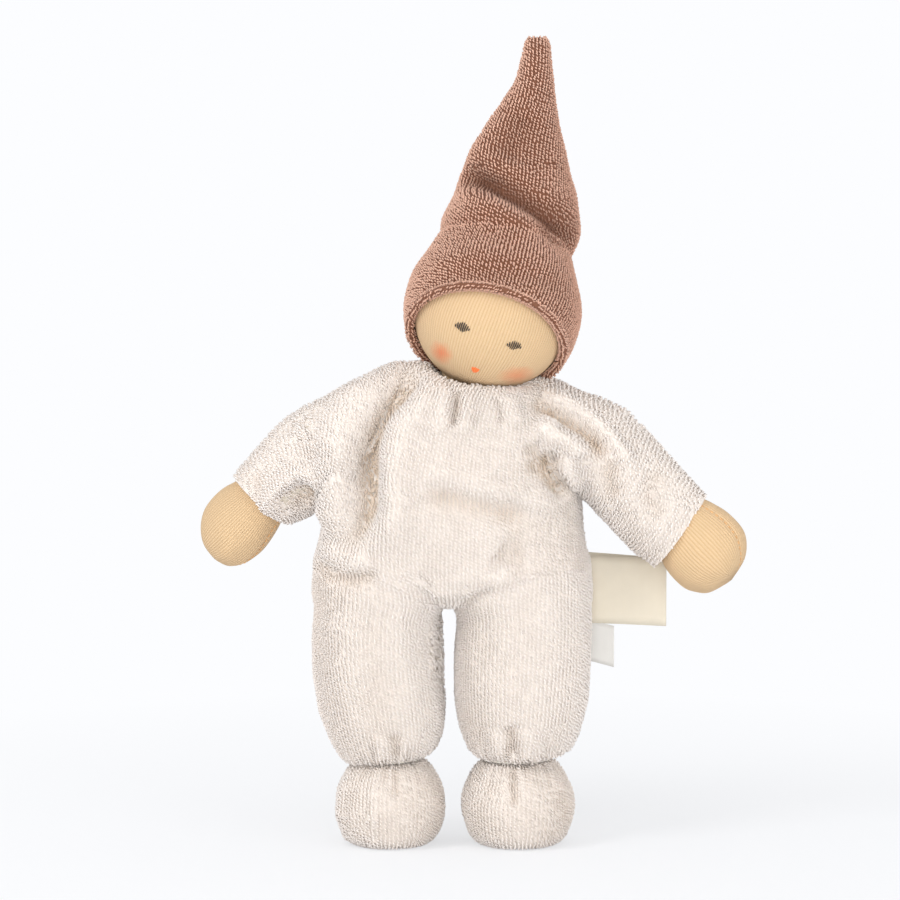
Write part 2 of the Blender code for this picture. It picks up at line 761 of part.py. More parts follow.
def add_head(torso):
    """Neck, thread, head, face and cap, up to the fold of the cap. Gives the head's own empty."""
    neck_place = (NECK_LEAN, 0.0, NECK_HEIGHT)
    tilt = pivot("neck_tilt", torso, neck_place, (HEAD_NOD, HEAD_TILT, HEAD_YAW), "ZXY")
    place_mesh("neck", tilt, *ball(NECK_RADIUS, SMALL_AROUND), SKIN, 0.85)
    nod = pivot("neck_nod", tilt, (0.0, 0.0, 0.0))
    tie_radius = NECK_RADIUS + GAP + THREAD / 2
    place_mesh("neck_tie", nod, *hoop(tie_radius, THREAD / 2, THREAD_AROUND), LINEN, 0.8)

    head = pivot("head_turn", nod, (0.0, 0.0, 0.0))
    middle = (0.0, 0.0, HEAD_RISE)
    tie_room = cutter("tie_room", head, room_ball(tie_radius + THREAD / 2 + GAP, AROUND))
    chin_room = cutter("chin_room", head, room_ball(COLLAR_RADIUS + GAP, AROUND))
    outside = moved(ball(HEAD_RADIUS, AROUND, HEAD_STEPS), shift=middle)
    inside = moved(ball(HEAD_RADIUS - TRICOT, AROUND, HEAD_STEPS), shift=middle)
    filling = moved(ball(HEAD_RADIUS - TRICOT - GAP, AROUND, HEAD_STEPS), shift=middle)
    skin_hollow = cutter("head_hollow", head, inside)
    skin = place_mesh("head_skin", head, *outside, SKIN, 0.85)
    cut(skin, skin_hollow, chin_room)
    wool = place_mesh("head_wool", head, *filling, WOOL)
    cut(wool, tie_room)

    for name, side in (("left_eye", 1), ("right_eye", -1)):
        form = patch(side * EYE_LONGITUDE, EYE_LATITUDE, EYE_HALF_WIDTH, EYE_HALF_HEIGHT, EYE_CORNER_SHARE)
        place_mesh(name, head, *form, EYE_BROWN, 0.6)
    form = patch(0.0, MOUTH_LATITUDE, MOUTH_HALF_WIDTH, MOUTH_HALF_HEIGHT, MOUTH_CORNER_SHARE)
    place_mesh("mouth", head, *form, MOUTH_RED, 0.6)

    opening = pivot("cap_opening", head, middle, (math.pi / 2 + OPENING_DROOP, 0.0, 0.0))
    nape = cutter("nape_room", head, room_ball(COLLAR_RADIUS + GAP, AROUND))
    crown = place_mesh("cap_crown", opening, *crown_form(), BROWN)
    cut(crown, nape)
    hem_seat = HEAD_RADIUS + GAP + HEM_RADIUS
    rim = hoop(hem_seat * math.sin(OPENING_ANGLE), HEM_RADIUS, TRUNK_AROUND)
    hem = moved(rim, shift=(0.0, 0.0, hem_seat * math.cos(OPENING_ANGLE)))
    cut(place_mesh("cap_hem", opening, *hem, BROWN), nape)
    return head


def crown_form():
    """The cap's crown: a bowl round the head, open towards +Z of the opening's frame."""
    inner = flats(HEAD_RADIUS + GAP, AROUND, 2 * CROWN_STEPS)
    outer = CAP_RADIUS
    hem_seat = HEAD_RADIUS + GAP + HEM_RADIUS
    rim = OPENING_ANGLE + (HEM_RADIUS + 2 * GAP) / hem_seat
    angles = [math.pi - (math.pi - rim) * k / CROWN_STEPS for k in range(CROWN_STEPS + 1)]
    shell = [(outer * math.sin(a), outer * math.cos(a)) for a in angles]
    shell += [(inner * math.sin(a), inner * math.cos(a)) for a in reversed(angles)]
    shell[0], shell[-1] = (0.0, -outer), (0.0, -inner)
    return turned(shell, AROUND)


def add_cap_point(head):
    """The cap's fold, which stays on the crown, and the point that flops on it."""
    place = (POINT_ACROSS, POINT_BACK, POINT_RISE)
    turn = (POINT_PITCH, POINT_LEAN, 0.0)
    point = pivot("point_flop", head, place, turn, "ZYX")
    rows = []
    for up, wide, deep, bend in POINT_SHARES:
        rows.append(
            (
                up * POINT_LENGTH,
                bend * POINT_BEND,
                0.0,
                wide * POINT_HALF_WIDTH,
                deep * POINT_HALF_DEPTH,
            )
        )
    shape = dict(around=AROUND, low=POINT_HALF_DEPTH, high=TIP_RADIUS)
    hollow = cutter("point_hollow", point, loft(rows, grow=-TERRY, **shape))
    mouth = cutter(
        "point_mouth",
        point,
        rod(POINT_HALF_WIDTH / 2, POINT_HALF_DEPTH / 2, -POINT_HALF_DEPTH - OVERRUN, 0.0),
    )
    cap_point = place_mesh("cap_point", point, *loft(rows, **shape), BROWN)
    cut(cap_point, hollow, mouth)

    fold_rows = []
    drop = POINT_RISE - HEAD_RISE - CAP_RADIUS + POINT_HALF_DEPTH
    for up, wide, deep in FOLD_SHARES:
        fold_rows.append(
            ((up - 1) * drop, 0.0, 0.0, wide * POINT_HALF_WIDTH, deep * POINT_HALF_DEPTH)
        )
    frame = Matrix.LocRotScale(place, point.rotation_euler, None)
    outer = loft(fold_rows, AROUND)
    bore = [(up, x, y, wide - TERRY, deep - TERRY) for up, x, y, wide, deep in fold_rows]
    bore = [(bore[0][0] - OVERRUN, *bore[0][1:]), *bore, (OVERRUN, *bore[-1][1:])]
    tube = cutter("fold_hollow", head, loft(bore, AROUND), frame)
    crown = cutter(
        "fold_seat",
        head,
        moved(room_ball(CAP_RADIUS + GAP, AROUND, HEAD_STEPS), shift=(0.0, 0.0, HEAD_RISE)),
    )
    fold = place_mesh("cap_fold", head, *outer, BROWN)
    fold.matrix_local = frame
    cut(fold, tube, crown)


def add_labels(torso):
    """The ribbon folded double in the left side seam, and the care strip behind it."""
    turn = (0.0, 0.0, LABEL_TURN)
    seam = pivot("label_seam", torso, (LABEL_SEAM, LABEL_BACK, LABEL_TOP), turn)
    half = (LABEL_OPENING + RIBBON) / 2
    turns = [-math.pi / 2 + math.pi * k / LABEL_STEPS for k in range(LABEL_STEPS + 1)]
    path = [(0.0, -half), (LABEL_WIDTH / 2, -half)]
    path += [(LABEL_WIDTH + half * math.cos(a), half * math.sin(a)) for a in turns]
    path += [(LABEL_WIDTH / 2, half), (0.0, half)]
    form = moved(strip(path, RIBBON, LABEL_HEIGHT), shift=(0.0, 0.0, -LABEL_HEIGHT))
    place_mesh("side_label", seam, *form, SATIN, 0.45)

    care = pivot("care_seam", torso, (LABEL_SEAM, LABEL_BACK, LABEL_TOP - LABEL_HEIGHT - GAP), turn)
    curl = []
    for k in range(LABEL_STEPS + 1):
        down = k / LABEL_STEPS
        curl.append((-down * CARE_HEIGHT, CARE_CURL * down**3))
    points, faces = strip(curl, RIBBON, CARE_WIDTH)
    points = [(z, y, x) for x, y, z in points]
    faces = [tuple(reversed(face)) for face in faces]
    place_mesh("care_label", care, points, faces, SATIN, 0.4)


def build():
    """Builds the doll."""
    clear_scene()
    torso = pivot("doll", None, (BODY_ACROSS, BODY_BACK, 0.0))
    left_arm = (LEFT_SLEEVE_LENGTH, LEFT_ARM_DROOP, LEFT_ARM_SWING, LEFT_ARM_ROLL)
    right_arm = (RIGHT_SLEEVE_LENGTH, RIGHT_ARM_DROOP, RIGHT_ARM_SWING, RIGHT_ARM_ROLL)
    swings = [
        add_leg(torso, 1, "left"),
        add_leg(torso, -1, "right"),
        add_arm(torso, 1, "left", *left_arm),
        add_arm(torso, -1, "right", *right_arm),
    ]
    add_trunk(torso, swings)
    head = add_head(torso)
    add_cap_point(head)
    add_labels(torso)


build()
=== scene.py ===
"""Looks of the soft baby doll: towelling with standing loops, ribbed knit, embroidery, ribbon.

Each soft form is a loft of rings worked out with numpy. Its table of rows gives where a ring's
right and left ends lie on the front view, how deep the ring is and where its middle lies from
front to back. The doll's own right side is at -X, and it faces -Y. Tables are in millimetres.
"""

import math

import bpy
import numpy as np
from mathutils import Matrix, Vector


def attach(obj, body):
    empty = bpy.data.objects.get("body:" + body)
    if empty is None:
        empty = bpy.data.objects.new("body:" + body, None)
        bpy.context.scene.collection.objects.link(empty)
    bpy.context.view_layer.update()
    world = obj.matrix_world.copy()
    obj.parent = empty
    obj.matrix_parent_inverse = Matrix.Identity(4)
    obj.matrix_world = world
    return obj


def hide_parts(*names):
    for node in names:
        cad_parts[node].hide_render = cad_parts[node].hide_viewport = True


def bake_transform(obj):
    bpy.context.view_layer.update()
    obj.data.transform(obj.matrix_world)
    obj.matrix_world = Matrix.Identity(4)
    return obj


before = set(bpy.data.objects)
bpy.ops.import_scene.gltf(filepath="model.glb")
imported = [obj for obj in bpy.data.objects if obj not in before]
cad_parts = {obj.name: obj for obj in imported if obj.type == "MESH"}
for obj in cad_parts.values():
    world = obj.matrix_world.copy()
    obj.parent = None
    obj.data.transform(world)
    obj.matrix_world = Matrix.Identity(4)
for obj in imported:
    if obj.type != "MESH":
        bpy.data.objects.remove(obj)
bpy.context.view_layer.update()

bl_info = {
    "name": "Soft towelling doll",
    "version": (1, 0, 0),
    "blender": (4, 5, 0),
    "location": "3D View > Sidebar > Doll",
    "description": "Dresses a jointed soft doll in towelling, knitted skin, embroidery and ribbon",
    "category": "Object",
}

MM = 0.001
INSET = 0.9  # how far the cloth lies inside the outline that its loops reach
WOOL_GAP = 0.8  # how far the cloth stays off the stuffing
SOLE = 0.4  # height over the floor at which a loop of the sole is pressed flat
JOIN_REACH = 11.0  # depth over which two forms of the suit melt into each other
CAP_JOIN_REACH = 16.0  # the same for the crown of the cap and what stands on it
PUSH_SOFTNESS = 0.6  # how gently the cloth leaves its stuffing
PUSH_LIMIT = 9.0  # the furthest that the stuffing moves the cloth
LOOPS_END = 0.7  # depth under another form at which the loops are left out
CREASE_SHADE_FULL = 6.0  # how far the cloth is pressed in where its painted shade in creases is full

# Rows of a form: right end x, z, left end x, z, half-depth, middle y, drop of the ring's front
TRUNK_ROWS = (
    (-12.0, 98.4, -5.0, 98.4, 4.0, 1.3, 0.0),
    (-38.0, 98.0, 22.0, 98.0, 13.0, 1.3, 0.0),
    (-53.0, 98.4, 36.5, 98.4, 18.0, 1.3, 0.0),
    (-57.6, 101.5, 41.4, 101.5, 22.4, 1.3, 0.0),
    (-60.2, 106.5, 44.0, 106.5, 25.4, 1.3, 0.0),
    (-61.8, 112.0, 45.6, 112.0, 27.6, 1.3, 0.0),
    (-60.4, 119.5, 44.4, 120.0, 29.2, 1.3, 0.0),
    (-58.4, 129.0, 43.2, 130.0, 30.4, 1.3, 0.0),
    (-56.6, 137.0, 42.0, 138.0, 31.0, 1.3, 0.0),
    (-54.0, 146.0, 40.6, 146.0, 30.8, 1.3, 0.0),
    (-50.5, 158.0, 39.6, 158.0, 29.6, 1.3, 0.0),
    (-45.0, 170.4, 38.0, 168.6, 27.6, 1.3, 0.0),
    (-36.5, 181.0, 34.0, 176.0, 25.2, 1.3, 1.0),
    (-27.0, 188.2, 29.5, 182.0, 22.4, 1.3, 2.5),
    (-19.5, 190.2, 24.0, 183.6, 19.4, 1.3, 3.0),
    (-15.0, 187.4, 14.5, 182.0, 15.8, 1.3, 2.0),
    (-8.0, 182.8, 6.0, 180.8, 7.0, 1.3, 1.0),
)
RIGHT_SLEEVE_ROWS = (
    (-20.0, 178.0, -25.0, 156.0, 6.0, 1.3, 0.0),
    (-21.0, 186.5, -32.0, 147.0, 12.0, 1.3, 0.0),
    (-30.0, 191.2, -43.0, 140.5, 18.0, 1.3, 0.0),
    (-40.0, 187.4, -51.5, 138.6, 22.4, 1.8, 0.0),
    (-52.0, 181.4, -57.5, 138.2, 23.0, 3.2, 0.0),
    (-63.7, 174.8, -60.5, 134.0, 20.8, 6.0, 0.0),
    (-75.5, 166.6, -65.5, 129.6, 18.8, 9.4, 0.0),
    (-85.0, 156.8, -70.8, 127.4, 17.0, 12.4, 0.0),
    (-91.6, 149.0, -75.4, 127.0, 15.6, 14.6, 0.0),
    (-94.8, 145.2, -78.0, 127.8, 14.8, 15.8, 0.0),
)
LEFT_SLEEVE_ROWS = (
    (20.0, 154.0, 22.0, 174.0, 9.0, 1.3, 0.0),
    (24.0, 148.0, 24.0, 182.0, 18.0, 1.3, 0.0),
    (31.5, 144.6, 31.5, 184.0, 23.0, 1.3, 0.0),
    (40.0, 142.0, 42.2, 180.8, 23.6, 0.8, 0.0),
    (45.2, 137.6, 54.0, 175.4, 22.2, -0.6, 0.0),
    (51.2, 130.4, 65.8, 166.0, 20.2, -2.6, 0.0),
    (59.0, 121.4, 77.8, 154.6, 17.6, -4.8, 0.0),
    (66.6, 114.6, 87.6, 144.4, 15.2, -6.3, 0.0),
    (71.8, 111.4, 92.0, 139.8, 14.0, -6.9, 0.0),
)
RIGHT_LEG_ROWS = (
    (-44.0, 116.0, -32.0, 115.0, 9.0, 1.3, 0.0),
    (-54.0, 114.0, -22.0, 111.0, 18.0, 1.3, 0.0),
    (-60.4, 108.0, -14.6, 104.6, 23.6, 1.3, 0.0),
    (-62.6, 101.0, -11.6, 97.0, 25.4, 1.3, 0.0),
    (-62.9, 93.5, -13.2, 90.5, 25.4, 1.3, 0.0),
    (-63.0, 82.0, -14.0, 80.0, 24.8, 1.3, 0.0),
    (-62.7, 70.0, -13.2, 68.5, 24.2, 1.3, 0.0),
    (-61.2, 59.0, -11.2, 58.0, 23.4, 1.3, 0.0),
    (-58.8, 48.4, -10.8, 48.6, 22.0, 1.3, 0.0),
    (-55.2, 40.0, -12.4, 41.4, 20.2, 1.3, 0.0),
    (-51.9, 34.8, -15.2, 37.0, 17.6, 1.3, 0.0),
    (-48.6, 32.6, -19.0, 35.2, 14.8, 1.3, 0.0),
    (-44.0, 32.8, -24.0, 34.8, 10.0, 1.3, 0.0),
)
LEFT_LEG_ROWS = (
    (16.0, 115.0, 28.0, 116.0, 9.0, 1.3, 0.0),
    (6.0, 111.0, 38.0, 114.0, 18.0, 1.3, 0.0),
    (-2.0, 104.6, 44.2, 108.0, 23.6, 1.3, 0.0),
    (-6.2, 97.0, 46.6, 101.0, 25.4, 1.3, 0.0),
    (-5.6, 90.5, 47.1, 93.5, 25.4, 1.3, 0.0),
    (-6.4, 80.0, 47.4, 82.0, 24.8, 1.3, 0.0),
    (-6.9, 68.5, 47.2, 70.0, 24.2, 1.3, 0.0),
    (-6.6, 58.0, 46.2, 59.0, 23.4, 1.3, 0.0),
    (-5.0, 48.0, 43.6, 48.4, 22.0, 1.3, 0.0),
    (-2.6, 40.4, 40.8, 40.8, 20.2, 1.3, 0.0),
    (0.2, 36.0, 37.8, 36.4, 17.6, 1.3, 0.0),
    (3.8, 34.4, 33.6, 34.8, 14.8, 1.3, 0.0),
    (8.6, 34.4, 28.6, 34.6, 10.0, 1.3, 0.0),
)
# Rows of a foot from the middle of its ankle: right x, z, left x, z, half-depth, middle y, drop
FOOT_ROWS = (
    (-4.0, 0.0, 4.0, 0.0, 6.0, 0.0, 0.0),
    (-10.0, 0.05, 10.0, 0.05, 14.0, 0.0, 0.0),
    (-15.2, 1.2, 15.2, 1.2, 17.4, -0.2, 0.0),
    (-19.4, 4.2, 19.4, 4.2, 20.4, -0.4, 0.0),
    (-22.0, 9.4, 22.0, 9.4, 22.4, -0.7, 0.0),
    (-22.8, 15.4, 22.8, 15.4, 23.2, -0.9, 0.0),
    (-22.0, 21.4, 22.0, 21.4, 22.4, -0.9, 0.0),
    (-19.8, 26.6, 19.8, 26.6, 20.4, -0.6, 0.0),
    (-17.2, 30.4, 17.2, 30.4, 17.6, -0.2, 0.0),
    (-14.6, 32.8, 14.6, 32.8, 14.8, 0.0, 0.0),
    (-10.0, 33.4, 10.0, 33.4, 10.0, 0.0, 0.0),
)
FOOT_Y = 1.3
# The cap above its crown, from inside the crown to the tip
CAP_PEAK_ROWS = (
    (4.0, 234.0, 26.0, 230.0, 9.0, 3.4, 0.0),
    (-5.0, 239.0, 36.0, 233.5, 14.0, 3.6, 0.0),
    (-9.6, 243.6, 41.0, 238.6, 17.4, 3.8, 0.0),
    (-10.0, 249.0, 43.0, 245.6, 21.0, 4.0, 0.0),
    (-7.8, 255.0, 41.8, 254.0, 20.6, 4.4, 0.0),
    (-4.9, 264.0, 39.4, 264.0, 17.0, 5.4, 0.0),
    (-0.8, 275.0, 37.0, 275.0, 13.4, 6.2, 0.0),
    (5.7, 285.2, 34.6, 285.0, 11.6, 6.9, 0.0),
    (11.6, 293.2, 33.4, 293.6, 10.0, 7.3, 0.0),
    (16.6, 301.7, 32.4, 302.6, 8.2, 7.8, 0.0),
    (19.4, 311.0, 31.4, 311.2, 6.6, 8.2, 0.0),
    (20.4, 316.4, 30.8, 316.6, 5.4, 8.4, 0.0),
    (22.0, 319.2, 29.2, 319.3, 3.2, 8.4, 0.0),
)
FOLD_TOP = 268.5  # height at which the cap's fold ends and its point begins
# Rows of a hand along its own axis: distance from the wrist, half-width, half-depth
HAND_ROWS = (
    (-7.0, 4.0, 4.0),
    (-6.0, 9.6, 8.8),
    (-1.0, 12.0, 10.4),
    (5.0, 14.6, 11.9),
    (11.0, 16.2, 13.0),
    (17.0, 16.5, 13.1),
    (22.0, 15.4, 12.3),
    (26.4, 12.4, 10.2),
    (29.2, 8.2, 7.0),
    (30.5, 3.6, 3.1),
    (30.75, 0.8, 0.7),
)
HAND_RISE = 2.0  # how much higher the soft hand sits than the middle of its cuff

# Folds: depth (a ridge is negative), width, and the line of its points x, z on the front view
LEFT_SHOULDER_FOLDS = (
    (6.4, 3.8, ((22, 178.5), (30, 174), (37, 169.5), (44.4, 164.7), (49, 160), (47.6, 154))),
    (-4.6, 4.6, ((24, 171), (32, 166), (40, 161), (43, 156))),
    (8.0, 3.4, ((33, 158.5), (30.2, 152), (32.5, 146), (38, 140))),
)
TRUNK_FOLDS = (
    (8.5, 5.2, ((-17, 187), (-27, 181), (-36, 173), (-40.5, 160), (-41, 145), (-42, 132), (-52, 118))),
    (-4.4, 6.6, ((-8, 184), (-20, 176), (-28.5, 161), (-29.5, 146), (-31, 132), (-41, 119))),
    (-7.0, 6.4, ((-49, 158), (-51, 148), (-51, 138), (-57, 124))),
    (3.0, 2.0, ((-5.5, 183), (-6.2, 175), (-7.6, 167))),
    (-2.0, 2.6, ((-10, 184), (-11, 174), (-13.5, 164))),
    (-1.8, 2.4, ((-1.5, 182), (-2.2, 173), (-3.4, 165))),
    (1.6, 2.0, ((10, 181), (11, 174), (11.6, 168))),
    (-1.4, 2.4, ((15, 182), (16.5, 174), (17.5, 168))),
    (-2.6, 4.6, ((-22, 152), (-8, 147.5), (8, 143.5), (24, 140), (38, 137))),
    (3.0, 5.6, ((-20, 144), (-6, 140), (10, 135.5), (24, 132))),
    *LEFT_SHOULDER_FOLDS,
    (2.4, 4.0, ((22, 163), (25, 156), (24, 148))),
    (3.6, 3.2, ((-62, 113.5), (-55, 109.5), (-46, 108), (-35, 111))),
    (-2.6, 4.0, ((-58, 121), (-48, 115), (-38, 117))),
    (-1.8, 4.4, ((-14, 101), (-5, 107), (6, 109.5), (18, 109))),
    (1.6, 4.0, ((-13, 98), (-5, 99.5), (3, 102), (12, 103))),
    (2.0, 6.0, ((8, 121), (14, 117), (22, 118))),
)
RIGHT_SLEEVE_FOLDS = (
    (3.4, 5.6, ((-14, 189), (-24, 182), (-33, 173), (-38, 160), (-40, 143), (-43, 130))),
    (-3.4, 7.0, ((-32, 188), (-45, 178), (-51, 165), (-52, 150), (-54, 138))),
    (-3.4, 3.4, ((-84, 132), (-76, 141), (-66, 149), (-59, 142))),
    (8.5, 4.4, ((-76, 133.5), (-67, 139.5), (-60.5, 140))),
    (1.8, 3.4, ((-88, 148), (-83, 140), (-80, 133))),
    (2.0, 5.0, ((-70, 172), (-64, 162), (-62, 152))),
)
LEFT_SLEEVE_FOLDS = (
    (-2.8, 2.2, ((24, 181), (33, 178), (42, 173.5), (50, 167.5), (58, 158), (63, 151))),
    *LEFT_SHOULDER_FOLDS,
    (-3.4, 3.0, ((36.5, 157), (38, 150), (43, 143))),
    (2.6, 4.0, ((55, 156), (53, 147), (57, 139))),
    (1.8, 5.0, ((72, 152), (70, 141), (74, 130))),
)
RIGHT_LEG_FOLDS = (
    (2.4, 3.6, ((-62, 113.5), (-55, 109.5), (-46, 108), (-35, 111))),
    (2.2, 3.0, ((-30.5, 47), (-30, 41), (-29.5, 35.5))),
    (-1.2, 3.4, ((-35, 46), (-34.5, 40), (-34, 35))),
)
LEFT_LEG_FOLDS = (
    (-1.6, 4.4, ((-14, 101), (-5, 107), (6, 109.5), (18, 109))),
    (3.4, 3.2, ((13.5, 51), (15.5, 44), (16.5, 36))),
    (-1.4, 3.6, ((8.5, 50), (10, 42), (11, 36))),
    (-1.4, 3.6, ((21, 50), (21.5, 42), (22, 36))),
)
# Feet: the middle of the ankle across the doll, the share of the rows' size, and the folds
FEET = (
    ("right", -32.2, 0.95, ((1.0, 2.2, ((-30, 33), (-29.5, 27), (-29, 22))),)),
    ("left", 18.6, 0.98, ((2.0, 2.4, ((16.4, 33.5), (16.4, 26), (16.0, 18))),)),
)
PEAK_FOLDS = (
    (6.5, 4.4, ((-9, 265), (2, 263.5), (12.5, 259), (24, 252), (34, 244), (41.5, 234))),
    (-3.0, 6.0, ((-7, 256), (5, 253.5), (16, 248), (27, 240))),
    (2.0, 7.0, ((12, 270), (17, 280), (22, 290))),
)
CROWN_FOLDS = (
    (-1.4, 6.0, ((-18, 226), (-6, 232), (8, 234), (24, 232), (36, 224))),
    (1.4, 4.0, ((-19, 221), (-6, 226), (8, 228), (24, 226), (36, 218))),
)

# Forms of the suit: rows, folds, and how many rings, places round a ring and what power
SUIT_FORMS = {
    "trunk": (TRUNK_ROWS, TRUNK_FOLDS, (132, 220, 2.35)),
    "right_sleeve": (RIGHT_SLEEVE_ROWS, RIGHT_SLEEVE_FOLDS, (110, 132, 2.1)),
    "right_leg": (RIGHT_LEG_ROWS, RIGHT_LEG_FOLDS, (110, 150, 2.1)),
    "left_sleeve": (LEFT_SLEEVE_ROWS, LEFT_SLEEVE_FOLDS, (110, 132, 2.1)),
    "left_leg": (LEFT_LEG_ROWS, LEFT_LEG_FOLDS, (110, 150, 2.1)),
}
LIMBS = ("right_sleeve", "left_sleeve", "right_leg", "left_leg")

# Two points in metres at each shoulder and hip; nothing in the script reads them
SHOULDERS = (
    ("left", (0.026, 0.0013, 0.178), (0.047, 0.000, 0.158)),
    ("right", (-0.030, 0.0013, 0.178), (-0.052, 0.004, 0.160)),
)
HIPS = (
    ("left", (0.0198, 0.0013, 0.106), (0.0198, 0.0013, 0.076)),
    ("right", (-0.0362, 0.0013, 0.106), (-0.0362, 0.0013, 0.076)),
)

# Head, in the frame of its own joint
HEAD_MIDDLE = (8.23, -3.56, 211.91)
HEAD_X = (0.9412, 0.0344, -0.3361)
HEAD_Y = (0.0266, 0.9842, 0.1750)
HEAD_Z = (0.3368, -0.1736, 0.9254)
HEAD_RADIUS = 31.1
CAP_RADIUS = 34.9
CAP_OPENING = (-0.1860, -0.6613, -0.7266)
OPENING_ANGLE = 66.0  # degrees from the opening's middle to its hem
HEM_RADIUS = 1.45
CAP_WALL = 1.8
CAP_PLACES = 200  # places round the crown and the hem
EYE_LONGITUDE = 20.0
EYE_LATITUDE = -7.4
EYE_HALF_WIDTH = 2.8
EYE_HALF_HEIGHT = 2.6
MOUTH_LATITUDE = -38.0
MOUTH_HALF_WIDTH = 1.15
MOUTH_HALF_HEIGHT = 1.9
FACE_STITCHES = 8  # stitches of an eye or the mouth
CHEEK_LONGITUDE = 35.0
CHEEK_LATITUDE = -32.5

# Hands: wrist joint, then the hand's own axes across, through and along
RIGHT_HAND = (
    (-83.17, 15.83, 133.6),
    (-0.142, 0.8035, 0.5781),
    (0.732, 0.4784, -0.4851),
    (-0.6664, 0.3543, -0.6561),
)
LEFT_HAND = (
    (80.71, -6.57, 127.97),
    (-0.6861, 0.1711, -0.7071),
    (0.2419, 0.9703, 0.0),
    (0.6861, -0.1711, -0.7071),
)

HAND_RIBS = 78
STITCH_STEP = 2.3  # from stitch to stitch of the hand's seam
SEAM_TURN = {"left": -0.5, "right": 0.55}  # where round the hand its seam lies, in radians

# Labels: the seam's place, and the way they point on the ground plan
LABEL_SEAM = (46.3, 7.3, 114.5)
LABEL_OUT = (0.9781, 0.2079, 0.0)
LABEL_LENGTH = 32.0
LABEL_HEIGHT = 27.0
RIBBON = 0.35
CARE_SEAM = (46.3, 7.3, 88.7)
CARE_LENGTH = 16.5
CARE_WIDTH = 10.4

# Camera: the middle of the photograph's frame, its width, and how far it looks down
VIEW_MIDDLE = (-8.5, 1.3, 156.7)
VIEW_WIDTH = 355.0
VIEW_DOWN = 5.0
VIEW_LENS = 150.0
SENSOR = 36.0

# Lamps: place in metres, size and power
LAMPS = (
    ("Key lamp", (-0.85, -0.75, 1.0), 0.5, 6.2),
    ("Fill lamp", (0.9, -0.9, 0.2), 0.9, 5.4),
    ("Front lamp", (-0.1, -1.7, 0.02), 1.1, 14.6),
)
BACKDROP = (0.975, 0.982, 1.0, 1.0)

WHITE = (1.0, 1.0, 1.0, 1.0)
forms = {}


def length_property(name, description, value, low, high):
    """A length that a user can change; its numbers are millimetres."""
    return bpy.props.FloatProperty(
        name=name,
        description=description,
        default=value * MM,
        min=low * MM,
        max=high * MM,
        unit="LENGTH",
        precision=5,
    )


def colour_property(name, description, value):
    """A colour that a user can change."""
    return bpy.props.FloatVectorProperty(
        name=name,
        description=description,
        subtype="COLOR",
        size=4,
        min=0.0,
        max=1.0,
        default=(*value, 1.0),
    )


class DollSizes(bpy.types.PropertyGroup):
    """Sizes of the cloth that a user would change."""

    wale: length_property(
        "Wale spacing", "Distance between two rows of loops of the towelling", 1.68, 1.0, 4.0
    )
    course: length_property("Loop spacing", "Distance from loop to loop along a row", 1.3, 0.6, 4.0)
    loop_height: length_property(
        "Loop height", "How far a loop stands up from the cloth", 1.0, 0.3, 4.0
    )
    yarn: length_property("Yarn radius", "Half the thickness of the yarn of a loop", 0.37, 0.1, 1.0)
    knit_ribs: bpy.props.IntProperty(
        name="Ribs round the head",
        description="How many ribs the knitted skin has round the head",
        default=153,
        min=40,
        max=400,
    )
    thread: length_property(
        "Embroidery thread",
        "Radius of the thread of the eyes, the mouth and the hand's seam",
        0.235, 0.1, 1.0,
    )


class DollColours(bpy.types.PropertyGroup):
    """Colours of the doll's materials."""

    cream: colour_property("Cream towelling", "Colour of the suit", (0.945, 0.875, 0.825))
    # Painted shade: a darker cream for the pile's depths and the ground between the loops.
    cream_root_shade: colour_property(
        "Cream between loops", "Colour of the suit where its loops part", (0.915, 0.835, 0.765)
    )
    brown: colour_property("Brown towelling", "Colour of the cap", (0.29, 0.125, 0.075))
    # Painted highlight: the paler colour where light catches the tops of the cap's loops.
    brown_tip_highlight: colour_property(
        "Brown loop tips", "Colour of the tops of the cap's loops", (0.83, 0.51, 0.38)
    )
    skin: colour_property("Knitted skin", "Colour of the head and the hands", (0.74, 0.535, 0.325))
    blush: colour_property("Blush", "Colour rubbed into the cheeks", (0.80, 0.22, 0.09))
    eye: colour_property("Eye thread", "Colour of the embroidered eyes", (0.030, 0.022, 0.020))
    mouth: colour_property("Mouth thread", "Colour of the embroidered mouth", (0.90, 0.17, 0.040))
    ribbon: colour_property("Ribbon", "Colour of the label's ribbon", (0.74, 0.66, 0.52))


def unit(vector):
    """A vector of length one."""
    vector = np.asarray(vector, float)
    return vector / np.linalg.norm(vector, axis=-1, keepdims=True)


def smooth_step(values, low, high):
    """Zero below low, one above high, and x*x*(3 - 2x) between."""
    share = np.clip((values - low) / (high - low), 0, 1)
    return share * share * (3 - 2 * share)


def turns(count):
    """The angles of so many places evenly round a ring."""
    return np.arange(count) * 2 * math.pi / count


def rounded(wave, power):
    """A sine or cosine raised to a power with its sign kept."""
    return np.sign(wave) * np.abs(wave) ** power


def length_run(points):
    """Length run from row to row of a line, or of a grid, where it is the mean round a ring."""
    steps = np.linalg.norm(np.diff(points, axis=0), axis=-1)
    if steps.ndim > 1:
        steps = steps.mean(1)
    return np.concatenate([[0], np.cumsum(steps)])


def smooth_rows(table, count):
    """A table's rows drawn out to count rows on a cubic curve.

    Between two rows each column is a Hermite cubic, whose slope at a row is that of the
    parabola through the row and its two neighbours, over the length run along the form.
    """
    rows = np.asarray(table, float)
    ends = np.linalg.norm(np.diff(rows[:, 0:2], axis=0), axis=1)
    ends += np.linalg.norm(np.diff(rows[:, 2:4], axis=0), axis=1)
    run = np.concatenate([[0], np.cumsum(ends / 2 + np.abs(np.diff(rows[:, 4])))])
    return hermite(rows, run, np.linspace(0, run[-1], count))


